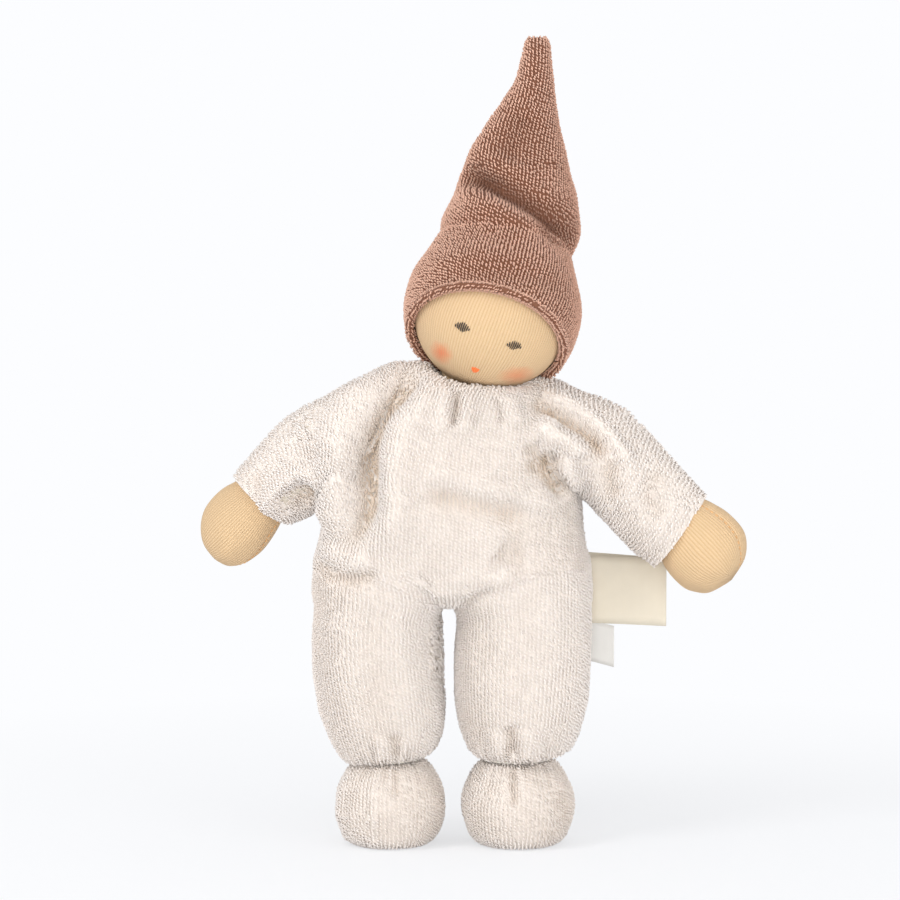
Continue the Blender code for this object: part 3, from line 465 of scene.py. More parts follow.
def hermite(values, places, wanted):
    """Values known at places, read at the wanted places on a curve without corners."""
    slopes = np.gradient(values, places, axis=0)
    low = np.clip(np.searchsorted(places, wanted, side="right") - 1, 0, len(places) - 2)
    span = (places[low + 1] - places[low])[:, None]
    x = (wanted - places[low])[:, None] / span
    return (
        (1 + 2 * x) * (1 - x) ** 2 * values[low]
        + x * (1 - x) ** 2 * span * slopes[low]
        + x * x * (3 - 2 * x) * values[low + 1]
        - x * x * (1 - x) * span * slopes[low + 1]
    )


def ring_grid(table, along, around, power=2.0):
    """Rings of a form, as points [row, place round the ring, xyz] in metres.

    point = middle + half * C(u) + depth * S(u) + drop * S(u)^2 at the front, where half runs
    from the ring's middle to its left end on the front view, and C and S are a cosine and a
    sine raised to the power 2 / power with their signs kept.
    """
    rows = smooth_rows(table, along) * MM
    turn = turns(around)
    wide = rounded(np.cos(turn), 2 / power)
    deep = rounded(np.sin(turn), 2 / power)
    middle = (rows[:, 0:2] + rows[:, 2:4]) / 2
    half = (rows[:, 2:4] - rows[:, 0:2]) / 2
    grid = np.empty((along, around, 3))
    grid[..., 0] = middle[:, 0:1] + half[:, 0:1] * wide
    grid[..., 1] = rows[:, 5:6] + rows[:, 4:5] * deep
    grid[..., 2] = middle[:, 1:2] + half[:, 1:2] * wide - rows[:, 6:7] * np.minimum(deep, 0) ** 2
    return outward(grid)


def volume(grid):
    """Volume inside a grid of rings, positive where its rows run so that normals point out."""
    a, b = grid, np.roll(grid, -1, 1)
    middle = grid.mean((0, 1))
    sides = np.cross(b[:-1] - a[:-1], a[1:] - a[:-1])
    return float(np.sum(sides * (a[:-1] - middle)))


def outward(grid):
    """The grid, with its places counted the other way round if its normals pointed in."""
    return grid if volume(grid) > 0 else grid[:, ::-1].copy()


def normals(grid):
    """Outward unit normals: the step round the ring crossed with the step along the form."""
    around = np.roll(grid, -1, 1) - np.roll(grid, 1, 1)
    along = np.gradient(grid, axis=0)
    across = np.cross(around, along)
    return across / np.maximum(np.linalg.norm(across, axis=-1, keepdims=True), 1e-12)


def line_distance(grid, line):
    """Distance of each point from a line on the front view, and how far along the line it is.

    The nearest of the line's stretches counts; along runs from 0 at its start to 1 at its end.
    """
    line = np.asarray(line, float) * MM
    knots = np.linspace(0, 1, len(line))
    line = hermite(line, knots, np.linspace(0, 1, 4 * len(line)))
    flat = grid[..., [0, 2]]
    nearest = np.full(flat.shape[:-1], np.inf)
    along = np.zeros(flat.shape[:-1])
    for k in range(len(line) - 1):
        start, step = line[k], line[k + 1] - line[k]
        share = np.clip(((flat - start) @ step) / (step @ step), 0, 1)
        distance = np.linalg.norm(flat - start - share[..., None] * step, axis=-1)
        closer = distance < nearest
        nearest = np.where(closer, distance, nearest)
        along = np.where(closer, (k + share) / (len(line) - 1), along)
    return nearest, along


def folded(grid, folds):
    """The grid with folds pressed into its front, or ridges raised, as a bell across each line.

    The depth is full along the line and fades over its first and last fifth, and where the
    cloth turns away from the front.
    """
    out = normals(grid)
    front = smooth_step(-out[..., 1], 0.05, 0.5)
    press = np.zeros(grid.shape[:-1])
    for depth, width, line in folds:
        distance, along = line_distance(grid, line)
        fade = smooth_step(along, -0.02, 0.22) * smooth_step(1 - along, -0.02, 0.22)
        press += depth * MM * np.exp(-((distance / (width * MM)) ** 2)) * fade
    return grid - out * (press * front)[..., None]


def gathered(grid, pleats, depth, place, reach, seed):
    """Pleats round a ring: three waves of unlike count, that fade with distance from a row."""
    random = np.random.default_rng(seed)
    rows, around = grid.shape[:2]
    turn = turns(around)
    wave = np.zeros(around)
    for share, count in ((0.5, pleats), (0.3, pleats * 0.62), (0.2, pleats * 1.45)):
        wave += share * np.sin(round(count) * turn + random.uniform(0, 2 * math.pi))
    run = length_run(grid)
    fade = np.exp(-(((run - run[place]) / (reach * MM)) ** 2))
    return grid + normals(grid) * (fade[:, None] * wave * depth * MM)[..., None]


def rumpled(grid, depth, size, seed):
    """Soft unevenness: a sum of eight seeded plane waves of about one size."""
    random = np.random.default_rng(seed)
    waves = unit(random.normal(size=(8, 3))) * random.uniform(0.7, 1.4, (8, 1))
    waves *= 2 * math.pi / (size * MM)
    phases = random.uniform(0, 2 * math.pi, 8)
    swell = np.sin(grid @ waves.T + phases).mean(-1)
    return grid + normals(grid) * (swell * depth * MM)[..., None]


def sunk(grid, other):
    """How deep each point lies under another form's skin, in metres; negative is outside.

    The depth is that under the plane of the skin's nearest patch. A point is inside where the
    patches, seen from it, fill more than half of the sphere round it: each fills
    area . (patch - point) / |patch - point|^3 of its 4 pi.
    """
    skin = other[::2, ::2]
    area = np.cross(
        (np.roll(skin, -1, 1) - np.roll(skin, 1, 1)) / 2, np.gradient(skin, axis=0)
    ).reshape(-1, 3)
    skin = skin.reshape(-1, 3)
    out = unit(area + 1e-15)
    coarse = grid[::2, ::2]
    flat = coarse.reshape(-1, 3)
    depth = np.empty(len(flat))
    for start in range(0, len(flat), 1500):
        part = flat[start : start + 1500]
        apart = (part**2).sum(1)[:, None] + (skin**2).sum(1) - 2 * part @ skin.T
        apart = np.maximum(apart, (1.0 * MM) ** 2)
        facing = (skin * area).sum(1) - part @ area.T
        filled = (facing / apart**1.5).sum(1) / (4 * math.pi)
        near = apart.argmin(1)
        plane = np.abs(((skin[near] - part) * out[near]).sum(1))
        depth[start : start + 1500] = np.where(filled > 0.5, plane, -plane)
    depth = depth.reshape(coarse.shape[:-1])
    rows, around = np.meshgrid(
        np.arange(grid.shape[0]) / 2, np.arange(grid.shape[1]) / grid.shape[1], indexing="ij"
    )
    return read_grid(depth, rows.ravel(), around.ravel()).reshape(grid.shape[:-1])


def joined(grid, other, reach):
    """The grid swelled along its normals where it dips into another form, as sewn cloth would.

    The swell is reach / 4 * (1 - |depth| / reach)^2, the rise of a smooth union of two forms.
    """
    share = np.clip(1 - np.abs(sunk(grid, other)) / (reach * MM), 0, 1)
    return grid + normals(grid) * (share**2 * reach * MM / 4)[..., None]


def stuffing(name):
    """Points spread over a stuffing's faces, and the way each face looks out."""
    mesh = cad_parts[name].data
    mesh.calc_loop_triangles()
    corners = np.empty(len(mesh.loop_triangles) * 3, np.int32)
    mesh.loop_triangles.foreach_get("vertices", corners)
    points = np.empty(len(mesh.vertices) * 3, np.float32)
    mesh.vertices.foreach_get("co", points)
    faces = points.reshape(-1, 3)[corners.reshape(-1, 3)].astype(float)
    out = np.cross(faces[:, 1] - faces[:, 0], faces[:, 2] - faces[:, 0])
    level = (np.arange(5) + 0.5) / 5
    first, second = (part.ravel() for part in np.meshgrid(level, level))
    inside = first + second < 1.01
    first, second = first[inside], second[inside]
    shares = np.stack([1 - first - second, first, second], -1)
    spread = (shares @ faces).reshape(-1, 3)
    return spread, unit(np.repeat(out, len(shares), 0) + 1e-15)


def held_out(grid, name):
    """The cloth pushed off its stuffing, softly, so that no fold sinks into the wool.

    A point at the height h over the wool moves out by s * ln(1 + exp((gap - h) / s)). Where
    its nearest spot of wool faces another way, or is a rim that it passes sideways, it stays.
    """
    wool_points, wool_out = stuffing(name)
    flat = grid.reshape(-1, 3)
    cloth_out = normals(grid).reshape(-1, 3)
    push = np.empty(len(flat))
    soft = PUSH_SOFTNESS * MM
    for start in range(0, len(flat), 2000):
        part = flat[start : start + 2000]
        apart = (part**2).sum(1)[:, None] + (wool_points**2).sum(1) - 2 * part @ wool_points.T
        near = apart.argmin(1)
        height = ((part - wool_points[near]) * wool_out[near]).sum(1)
        distance = np.sqrt(np.maximum(apart.min(1), 0))
        agreed = (cloth_out[start : start + 2000] * wool_out[near]).sum(1) > 0
        facing = agreed & ((np.abs(height) > 0.75 * distance) | (distance < 1.5 * MM))
        needed = soft * np.logaddexp(0, (WOOL_GAP * MM - height) / soft)
        push[start : start + 2000] = np.where(facing, needed, 0)
    push = np.minimum(push, PUSH_LIMIT * MM).reshape(grid.shape[:-1])
    return grid + normals(grid) * push[..., None]


def new_object(name, mesh, material):
    """A mesh with its material as an object of the scene."""
    mesh.materials.append(material)
    item = bpy.data.objects.new(name, mesh)
    bpy.context.scene.collection.objects.link(item)
    return item


def new_mesh(name, points, quads, triangles):
    """A mesh from arrays of points, four-cornered faces and three-cornered faces."""
    mesh = bpy.data.meshes.new(name)
    corners = np.concatenate([np.ravel(quads), np.ravel(triangles)]).astype(np.int32)
    starts = np.concatenate(
        [np.arange(len(quads)) * 4, len(quads) * 4 + np.arange(len(triangles)) * 3]
    )
    mesh.vertices.add(len(points))
    mesh.vertices.foreach_set("co", np.ravel(points).astype(np.float32))
    mesh.loops.add(len(corners))
    mesh.loops.foreach_set("vertex_index", corners)
    mesh.polygons.add(len(starts))
    mesh.polygons.foreach_set("loop_start", starts.astype(np.int32))
    mesh.polygons.foreach_set("use_smooth", np.full(len(starts), True))
    mesh.update(calc_edges=True)
    return mesh


def set_map(mesh, name, corners):
    """A UV map from one pair of numbers for each corner."""
    layer = mesh.uv_layers.new(name=name)
    layer.data.foreach_set("uv", np.ravel(corners).astype(np.float32))


def skin_object(name, grid, material, closed=(True, True), wales=1):
    """A grid of rings as an object, with a point at each end that is closed.

    The map Cloth counts wales round the ring and metres along the form, and OFBake is the same
    grid spread over the unit square.
    """
    rows, around = grid.shape[:2]
    index = np.arange(rows * around).reshape(rows, around)
    following = np.roll(index, -1, 1)
    quads = np.stack([index[:-1], following[:-1], following[1:], index[1:]], -1).reshape(-1, 4)
    points = [grid.reshape(-1, 3)]
    triangles = []
    if closed[0]:
        points.append(grid[0].mean(0)[None])
        middle = np.full(around, rows * around)
        triangles.append(np.stack([following[0], index[0], middle], -1))
    if closed[1]:
        points.append(grid[-1].mean(0)[None])
        middle = np.full(around, rows * around + int(closed[0]))
        triangles.append(np.stack([index[-1], following[-1], middle], -1))
    triangles = np.concatenate(triangles) if triangles else np.empty((0, 3), int)
    mesh = new_mesh(name, np.concatenate(points), quads, triangles)
    shares = np.arange(around + 1) / around
    run = length_run(grid)
    first, last = np.meshgrid(np.arange(rows - 1), np.arange(around), indexing="ij")
    u = np.stack([shares[last], shares[last + 1], shares[last + 1], shares[last]], -1)
    v = np.stack([run[first], run[first], run[first + 1], run[first + 1]], -1)
    pair = np.stack([u, v], -1).reshape(-1, 2)
    caps = []
    for end, at in ((closed[0], 0), (closed[1], rows - 1)):
        if end:
            beyond = run[at] + (run[1] if at else -run[1]) / 2
            near, far = shares[:-1], shares[1:]
            order = (near, far) if at else (far, near)
            level = np.full(around, run[at])
            tip = np.stack([(near + far) / 2, np.full(around, beyond)], -1)
            rim = [np.stack([place, level], -1) for place in order]
            corner = np.stack([*rim, tip], 1)
            caps.append(corner.reshape(-1, 2))
    pair = np.concatenate([pair, *caps])
    set_map(mesh, "Cloth", pair * (wales, 1))
    low, high = pair[:, 1].min(), pair[:, 1].max()
    set_map(mesh, "OFBake", np.stack([pair[:, 0], (pair[:, 1] - low) / (high - low)], -1))
    return new_object(name, mesh, material)


def read_grid(field, row, place):
    """A field of a grid read between its points: row counts rows, place is a share of the ring."""
    rows, around = field.shape[:2]
    row = np.clip(row, 0, rows - 1.001)
    place = np.mod(place, 1) * around
    low, left = row.astype(int), place.astype(int) % around
    up, on = row - low, place - place.astype(int)
    right = (left + 1) % around
    shape = (-1,) + (1,) * (field.ndim - 2)
    up, on = up.reshape(shape), on.reshape(shape)
    below = field[low, left] * (1 - on) + field[low, right] * on
    above = field[low + 1, left] * (1 - on) + field[low + 1, right] * on
    return below * (1 - up) + above * up


def ring_run(grid):
    """Length run along a form from ring to ring, and round each ring from place to place."""
    round_steps = np.linalg.norm(np.roll(grid, -1, 1) - grid, axis=-1)
    start = np.zeros((len(grid), 1))
    return length_run(grid), np.hstack([start, np.cumsum(round_steps, 1)])


def loop_places(grid, wale, course, across, gather, buried, seed):
    """Where the loops of the towelling stand: rows of the grid, and places round them.

    Wales run along the form, side by side from the middle of its front and of its back. With a
    gather of 0 they keep their spacing and end at the side seams, with 1 they keep their number
    and crowd where the form is drawn in. Where across is true they run round the form instead.
    Loops are left out where the cloth is buried in another form.
    """
    random = np.random.default_rng(seed)
    run, rounds = ring_run(grid)
    girth = rounds[:, -1]
    numbers = np.arange(len(run))
    levels = int(run[-1] / (wale if across else course))
    count = int(girth.max() / (course if across else wale) / 3)
    rows, places = [], []
    ring_places = np.arange(rounds.shape[1]) / (rounds.shape[1] - 1)
    for level in range(levels):
        for half in (0, 1):
            item = np.arange(-count, count + 1)
            if across:
                along = level + 0.5 + random.normal(0, 0.16, len(item))
                side = item + 0.5 * (level % 2) + random.normal(0, 0.18, len(item))
            else:
                along = level + 0.5 * (item % 2) + random.normal(0, 0.14, len(item))
                side = item + random.normal(0, 0.06, len(item))
            row = np.interp(np.clip((along + 0.3) / levels, 0, 1) * run[-1], run, numbers)
            here = np.interp(row, numbers, girth)
            ratio = here / girth.max()
            share = side * (course if across else wale) * ratio**gather / here
            ring = rounds[int(row.mean())] / girth[int(row.mean())]
            low, middle, high = np.interp(np.array([0, 0.25, 0.5]) + half / 2, ring_places, ring)
            keep = (share > low - middle) & (share < high - middle)
            keep &= random.random(len(item)) < ratio**gather * 1.5
            rows.append(row[keep])
            places.append(np.interp(middle + share[keep], ring, ring_places))
    row, place = np.concatenate(rows), np.concatenate(places)
    keep = (row > 0.2) & (row < len(run) - 1.2)
    if buried is not None:
        keep &= read_grid(buried, row, place) < LOOPS_END * MM
    return row[keep], place[keep]


def pile_object(
    name, form, material, sizes, across=False, gather=1.0, seed=1, only=None, scale=1.0, low=None
):
    """Standing loops of the towelling over a grid, each a bent tube of three sides.

    A loop's line has four points: it leaves the cloth, rises, crosses at the loop's height and
    goes back in beside its start. It runs along its wale with a seeded turn and leans a little.
    The tube's corners lie on a circle round each point, and both ends are closed in the cloth.
    Where only is given, it picks the places by their points and normals, and where low is given,
    no point of a loop lies under that height.
    """
    grid, buried, crease_shade = form
    random = np.random.default_rng(seed)
    wale, course = sizes.wale * scale, sizes.course * scale
    row, place = loop_places(grid, wale, course, across, gather, buried, seed)
    base = read_grid(grid, row, place)
    out = unit(read_grid(normals(grid), row, place))
    if only is not None:
        chosen = only(base, out)
        row, place, base, out = (field[chosen] for field in (row, place, base, out))
    count = len(base)
    ring_way = np.roll(grid, -1, 1) - np.roll(grid, 1, 1)
    way = read_grid(ring_way if across else np.gradient(grid, axis=0), row, place)
    way = unit(way - (way * out).sum(-1, keepdims=True) * out)
    side = np.cross(out, way)
    angle = random.normal(0.6, 0.18, (count, 1))
    run = way * np.cos(angle) + side * np.sin(angle)
    lean = way * random.normal(0, 0.14, (count, 1)) + side * random.normal(0, 0.14, (count, 1))
    height = sizes.loop_height * scale * random.uniform(0.86, 1.14, (count, 1))
    half = sizes.course * scale * random.uniform(0.27, 0.35, (count, 1))
    foot = out * sizes.yarn * 1.4
    # The share of painted shade in creases under each loop.
    fold = None if crease_shade is None else read_grid(crease_shade, row, place)
    line = np.stack(
        [
            base - run * half * 0.8 - foot,
            base - run * half + out * height * 0.72 + lean * height * 0.6,
            base + run * half * 0.7 + out * height + lean * height,
            base + run * half - foot,
        ],
        1,
    )
    if low is not None:
        line[..., 2] = np.maximum(line[..., 2], low)
    return tubes_object(name, line, sizes.yarn * scale, material, (0.0, 0.8, 1.0, 0.0), fold)


def tubes_object(name, line, radius, material, tips=None, crease_shade=None, sides=3, ends=None):
    """Many short bent tubes in one mesh, from their lines [tube, point, xyz].

    Each point carries a circle of corners square to the line there, and the two ends have a
    face. Tip is a value from 0 in the cloth to 1 at the top, which sets the painted shade at a
    loop's foot, CreaseShade is one value for a tube, the share of painted shade in creases, and
    OFBake gives each tube its own square patch.
    """
    count, steps = line.shape[:2]
    tangent = unit(np.gradient(line, axis=1))
    chord = line[:, -1] - line[:, 0]
    bow = line[:, steps // 2] - (line[:, 0] + line[:, -1]) / 2
    side = np.cross(chord, bow)
    side = unit(side + 1e-9)[:, None]
    up = unit(np.cross(tangent, side))
    turn = turns(sides)
    wide = np.ones(steps) if ends is None else np.asarray(ends, float)
    ring = (
        np.cos(turn)[:, None] * side[:, :, None] + np.sin(turn)[:, None] * up[:, :, None]
    ) * (radius * wide)[:, None, None]
    points = (line[:, :, None] + ring).reshape(-1, 3)
    first = (np.arange(count) * steps * sides)[:, None, None]
    k, j = np.meshgrid(np.arange(steps - 1), np.arange(sides), indexing="ij")
    a = first + (k * sides + j)
    b = first + (k * sides + (j + 1) % sides)
    quads = np.stack([a, a + sides, b + sides, b], -1).reshape(-1, 4)
    fan = np.arange(1, sides - 1)
    start = np.stack([0 * fan, fan, fan + 1], -1)
    finish = np.stack([0 * fan, fan + 1, fan], -1) + (steps - 1) * sides
    closing = np.concatenate([start, finish])
    triangles = (first + closing[None]).reshape(-1, 3)
    mesh = new_mesh(name, points, quads, triangles)
    if tips is not None:
        value = np.broadcast_to(np.asarray(tips, float)[None, :, None], (count, steps, sides))
        attribute = mesh.attributes.new("Tip", "FLOAT", "POINT")
        attribute.data.foreach_set("value", np.ravel(value).astype(np.float32))
    # Painted shade: the share of crease shade that darkens each tube.
    if crease_shade is not None:
        attribute = mesh.attributes.new("CreaseShade", "FLOAT", "POINT")
        attribute.data.foreach_set("value", np.repeat(crease_shade, steps * sides).astype(np.float32))
    across = math.ceil(math.sqrt(count))
    patch = np.stack([np.arange(count) % across, np.arange(count) // across], -1) / across
    size = 0.9 / across
    corner = np.stack(
        [
            np.stack([j, k], -1),
            np.stack([j, k + 1], -1),
            np.stack([j + 1, k + 1], -1),
            np.stack([j + 1, k], -1),
        ],
        -2,
    ) / (sides, steps - 1)
    flat = patch[:, None, None, None] + corner[None] * size
    small = np.array([(0.0, 0.0), (0.1, 0.0), (0.0, 0.1)]) * size
    closing_map = np.broadcast_to(patch[:, None, None] + small, (count, len(closing), 3, 2))
    set_map(mesh, "OFBake", np.concatenate([flat.reshape(-1, 2), closing_map.reshape(-1, 2)]))
    return new_object(name, mesh, material)


class Nodes:
    """Short ways to add and join the nodes of a material."""

    def __init__(self, name):
        self.material = bpy.data.materials.get(name)
        self.fresh = self.material is None
        if self.fresh:
            self.material = bpy.data.materials.new(name)
            self.material.use_nodes = True
            self.tree = self.material.node_tree
            self.shader = self.tree.nodes["Principled BSDF"]
            self.places = self.add("ShaderNodeTexCoord").outputs["Object"]

    def add(self, kind, **settings):
        node = self.tree.nodes.new(kind)
        for name, value in settings.items():
            setattr(node, name, value)
        return node

    def join(self, source, target):
        self.tree.links.new(source, target)

    def maths(self, operation, first, second=None, third=None):
        """One Math node; each value is a number or another node's output."""
        node = self.add("ShaderNodeMath", operation=operation)
        for socket, value in zip(node.inputs, (first, second, third)):
            if isinstance(value, (int, float)):
                socket.default_value = value
            elif value is not None:
                self.join(value, socket)
        return node.outputs[0]

    def noise(self, scale, detail=2.0, places=None):
        node = self.add("ShaderNodeTexNoise")
        node.inputs["Scale"].default_value = scale
        node.inputs["Detail"].default_value = detail
        self.join(places or self.places, node.inputs["Vector"])
        return node.outputs["Fac"]

    def mix(self, share, first, second):
        """A mix of two colours, each a colour or another node's output."""
        node = self.add("ShaderNodeMix", data_type="RGBA")
        self.join(share, node.inputs["Factor"])
        for name, value in (("A", first), ("B", second)):
            socket = [s for s in node.inputs if s.name == name and s.type == "RGBA"][0]
            if hasattr(value, "is_linked"):
                self.join(value, socket)
            else:
                socket.default_value = value
        return [s for s in node.outputs if s.type == "RGBA"][0]

    def spread(self, value, low, high, to_low=0.0, to_high=1.0):
        """A value's range moved to another, and held at its ends."""
        node = self.add("ShaderNodeMapRange")
        self.join(value, node.inputs["Value"])
        node.inputs["From Min"].default_value = low
        node.inputs["From Max"].default_value = high
        node.inputs["To Min"].default_value = to_low
        node.inputs["To Max"].default_value = to_high
        return node.outputs["Result"]

    def bump(self, height, distance, strength=1.0):
        node = self.add("ShaderNodeBump")
        node.inputs["Distance"].default_value = distance
        node.inputs["Strength"].default_value = strength
        self.join(height, node.inputs["Height"])
        self.join(node.outputs["Normal"], self.shader.inputs["Normal"])

    def cloth(self, colour, roughness, sheen=0.0):
        """The finish of a cloth: its colour, a roughness and a soft sheen."""
        self.join(colour, self.shader.inputs["Base Color"])
        self.shader.inputs["Roughness"].default_value = roughness
        self.shader.inputs["Specular IOR Level"].default_value = 0.2
        self.shader.inputs["Sheen Weight"].default_value = sheen
        self.shader.inputs["Sheen Roughness"].default_value = 0.5


def darker(colour, share):
    """A colour with a share of its light."""
    return (colour[0] * share, colour[1] * share, colour[2] * share, 1.0)


def towelling(name, deep, full):
    """Loops of towelling: painted shade deeper in the cloth and in creases, the full colour at the
    tips, and a little uneven.
    """
    nodes = Nodes(name)
    if nodes.fresh:
        tip = nodes.add("ShaderNodeAttribute", attribute_name="Tip").outputs["Fac"]
        uneven = nodes.noise(420.0, 3.0)
        share = nodes.maths("MULTIPLY_ADD", uneven, 0.7, nodes.maths("MULTIPLY", tip, 0.75))
        share = nodes.spread(share, 0.25, 1.0)
        patches = nodes.spread(nodes.noise(28.0), 0.3, 0.7, 0.0, 0.35)
        # Painted shade: the deep colour at the loops' feet, where the pile shades itself, turning to
        # the full colour at their tops, mixed by height and by random unevenness.
        colour = nodes.mix(share, deep, full)
        colour = nodes.mix(patches, colour, nodes.mix(share, darker(deep, 0.97), darker(full, 0.93)))
        # Painted shade: the loops turn darker and warmer where the cloth is pressed into creases.
        fold = nodes.add("ShaderNodeAttribute", attribute_name="CreaseShade").outputs["Fac"]
        crease_shade_colour = (deep[0] * 0.9, deep[1] * 0.8, deep[2] * 0.68, 1.0)
        colour = nodes.mix(nodes.maths("MULTIPLY", fold, 0.9), colour, crease_shade_colour)
        nodes.cloth(colour, 0.92, 0.12)
        nodes.bump(nodes.noise(2600.0, 2.0), 0.00012, 0.5)
    return nodes.material


def ground_cloth(name, colour):
    """The knitted ground that the loops stand in, seen only between them."""
    nodes = Nodes(name)
    if nodes.fresh:
        uneven = nodes.spread(nodes.noise(900.0, 3.0), 0.3, 0.7)
        nodes.cloth(nodes.mix(uneven, darker(colour, 0.86), colour), 0.95, 0.1)
        nodes.bump(uneven, 0.0003, 0.7)
    return nodes.material


def knitted_skin(name, colours, cheeks=()):
    """Ribbed knit: each rib is a column of slanted stitches, with shade between the ribs.

    Round a rib x runs from 0 to 1 and is folded about its middle; along it the stitch count is
    pushed on by that fold, which slants the stitches to both sides as in a plain knit.
    """
    nodes = Nodes(name)
    if not nodes.fresh:
        return nodes.material
    cloth_map = nodes.add("ShaderNodeUVMap", uv_map="Cloth").outputs["UV"]
    split = nodes.add("ShaderNodeSeparateXYZ")
    nodes.join(cloth_map, split.inputs["Vector"])
    wander = nodes.maths("MULTIPLY", nodes.noise(160.0), 0.25)
    place = nodes.maths("FRACT", nodes.maths("ADD", split.outputs["X"], wander))
    fold = nodes.maths("ABSOLUTE", nodes.maths("MULTIPLY_ADD", place, 2.0, -1.0))
    rib = nodes.maths("SUBTRACT", 1.0, nodes.maths("POWER", fold, 2.0))
    stitches = nodes.maths("MULTIPLY", split.outputs["Y"], 1.0 / (0.95 * MM))
    slant = nodes.maths("MULTIPLY_ADD", fold, 0.55, stitches)
    stitch = nodes.maths("SINE", nodes.maths("MULTIPLY", slant, 2 * math.pi))
    height = nodes.maths("MULTIPLY_ADD", nodes.maths("MULTIPLY", stitch, rib), 0.22, rib)
    light = tuple(colours.skin)
    shade = (light[0] * 0.86, light[1] * 0.76, light[2] * 0.62, 1.0)
    colour = nodes.mix(nodes.spread(height, -0.1, 0.9), shade, light)
    patches = nodes.spread(nodes.noise(45.0), 0.35, 0.7, 0.0, 0.25)
    colour = nodes.mix(patches, colour, (light[0], light[1] * 0.93, light[2] * 0.84, 1.0))
    for middle, width, tall, strength in cheeks:
        shift = nodes.add("ShaderNodeVectorMath", operation="SUBTRACT")
        nodes.join(nodes.places, shift.inputs[0])
        shift.inputs[1].default_value = middle
        stretch = nodes.add("ShaderNodeVectorMath", operation="MULTIPLY")
        nodes.join(shift.outputs[0], stretch.inputs[0])
        stretch.inputs[1].default_value = (1 / width, 0.5 / width, 1 / tall)
        reach = nodes.add("ShaderNodeVectorMath", operation="LENGTH")
        nodes.join(stretch.outputs[0], reach.inputs[0])
        rough_edge = nodes.maths("MULTIPLY_ADD", nodes.noise(340.0, 3.0), 0.5, -0.25)
        edge = nodes.maths("ADD", reach.outputs["Value"], rough_edge)
        rubbed = nodes.spread(edge, 1.0, 0.15, 0.0, strength)
        rubbed = nodes.maths("MULTIPLY", rubbed, nodes.spread(height, -0.4, 0.8, 0.55, 1.0))
        colour = nodes.mix(rubbed, colour, tuple(colours.blush))
    nodes.cloth(colour, 0.8, 0.08)
    nodes.bump(height, 0.0003, 0.8)
    return nodes.material


def thread(name, colour, roughness=0.6):
    """Twisted thread: fine slanting plies, with a painted highlight on their backs."""
    nodes = Nodes(name)
    if nodes.fresh:
        wave = nodes.add("ShaderNodeTexWave", bands_direction="DIAGONAL")
        wave.inputs["Scale"].default_value = 900.0
        wave.inputs["Distortion"].default_value = 3.0
        nodes.join(nodes.places, wave.inputs["Vector"])
        plies = wave.outputs["Fac"]
        # Painted highlight: the plies' backs turn paler, as where light catches them.
        ply_highlight = tuple(min(1.0, c * 1.5 + 0.015) for c in colour[:3]) + (1.0,)
        nodes.cloth(nodes.mix(plies, colour, ply_highlight), roughness, 0.1)
        nodes.bump(plies, 0.0001, 0.6)
    return nodes.material


def ribbon_satin(name, colour):
    """Woven satin ribbon: fine threads both ways, a painted sheen where they cross, and soft cloudy
    unevenness.
    """
    nodes = Nodes(name)
    if nodes.fresh:
        heights = []
        for direction, scale in (("X", 700.0), ("Z", 1100.0)):
            wave = nodes.add("ShaderNodeTexWave", bands_direction=direction)
            wave.inputs["Scale"].default_value = scale
            wave.inputs["Distortion"].default_value = 1.5
            nodes.join(nodes.places, wave.inputs["Vector"])
            heights.append(wave.outputs["Fac"])
        weave_and_sheen = nodes.maths("MULTIPLY", heights[0], heights[1])
        cloudy = nodes.spread(nodes.noise(120.0, 3.0), 0.3, 0.7)
        colour_out = nodes.mix(cloudy, darker(colour, 0.95), colour)
        # Painted sheen: the threads turn towards white where they cross.
        colour_out = nodes.mix(nodes.maths("MULTIPLY", weave_and_sheen, 0.35), colour_out, WHITE)
        nodes.cloth(colour_out, 0.45, 0.15)
        nodes.bump(weave_and_sheen, 0.00006, 0.6)
    return nodes.material


def wool(name):
    """Carded wool stuffing, hidden inside the cloth."""
    nodes = Nodes(name)
    if nodes.fresh:
        fibres = nodes.noise(700.0, 6.0)
        nodes.cloth(nodes.mix(fibres, (0.60, 0.52, 0.42, 1.0), (0.80, 0.74, 0.64, 1.0)), 0.95, 0.2)
        nodes.bump(fibres, 0.0004, 0.8)
    return nodes.material


def crease_shade_share(smooth, final):
    """How far each point was pressed in, as a share of the depth at which creases get their full
    painted shade on the loops.
    """
    return np.clip(((smooth - final) * normals(smooth)).sum(-1) / (CREASE_SHADE_FULL * MM), 0, 1)


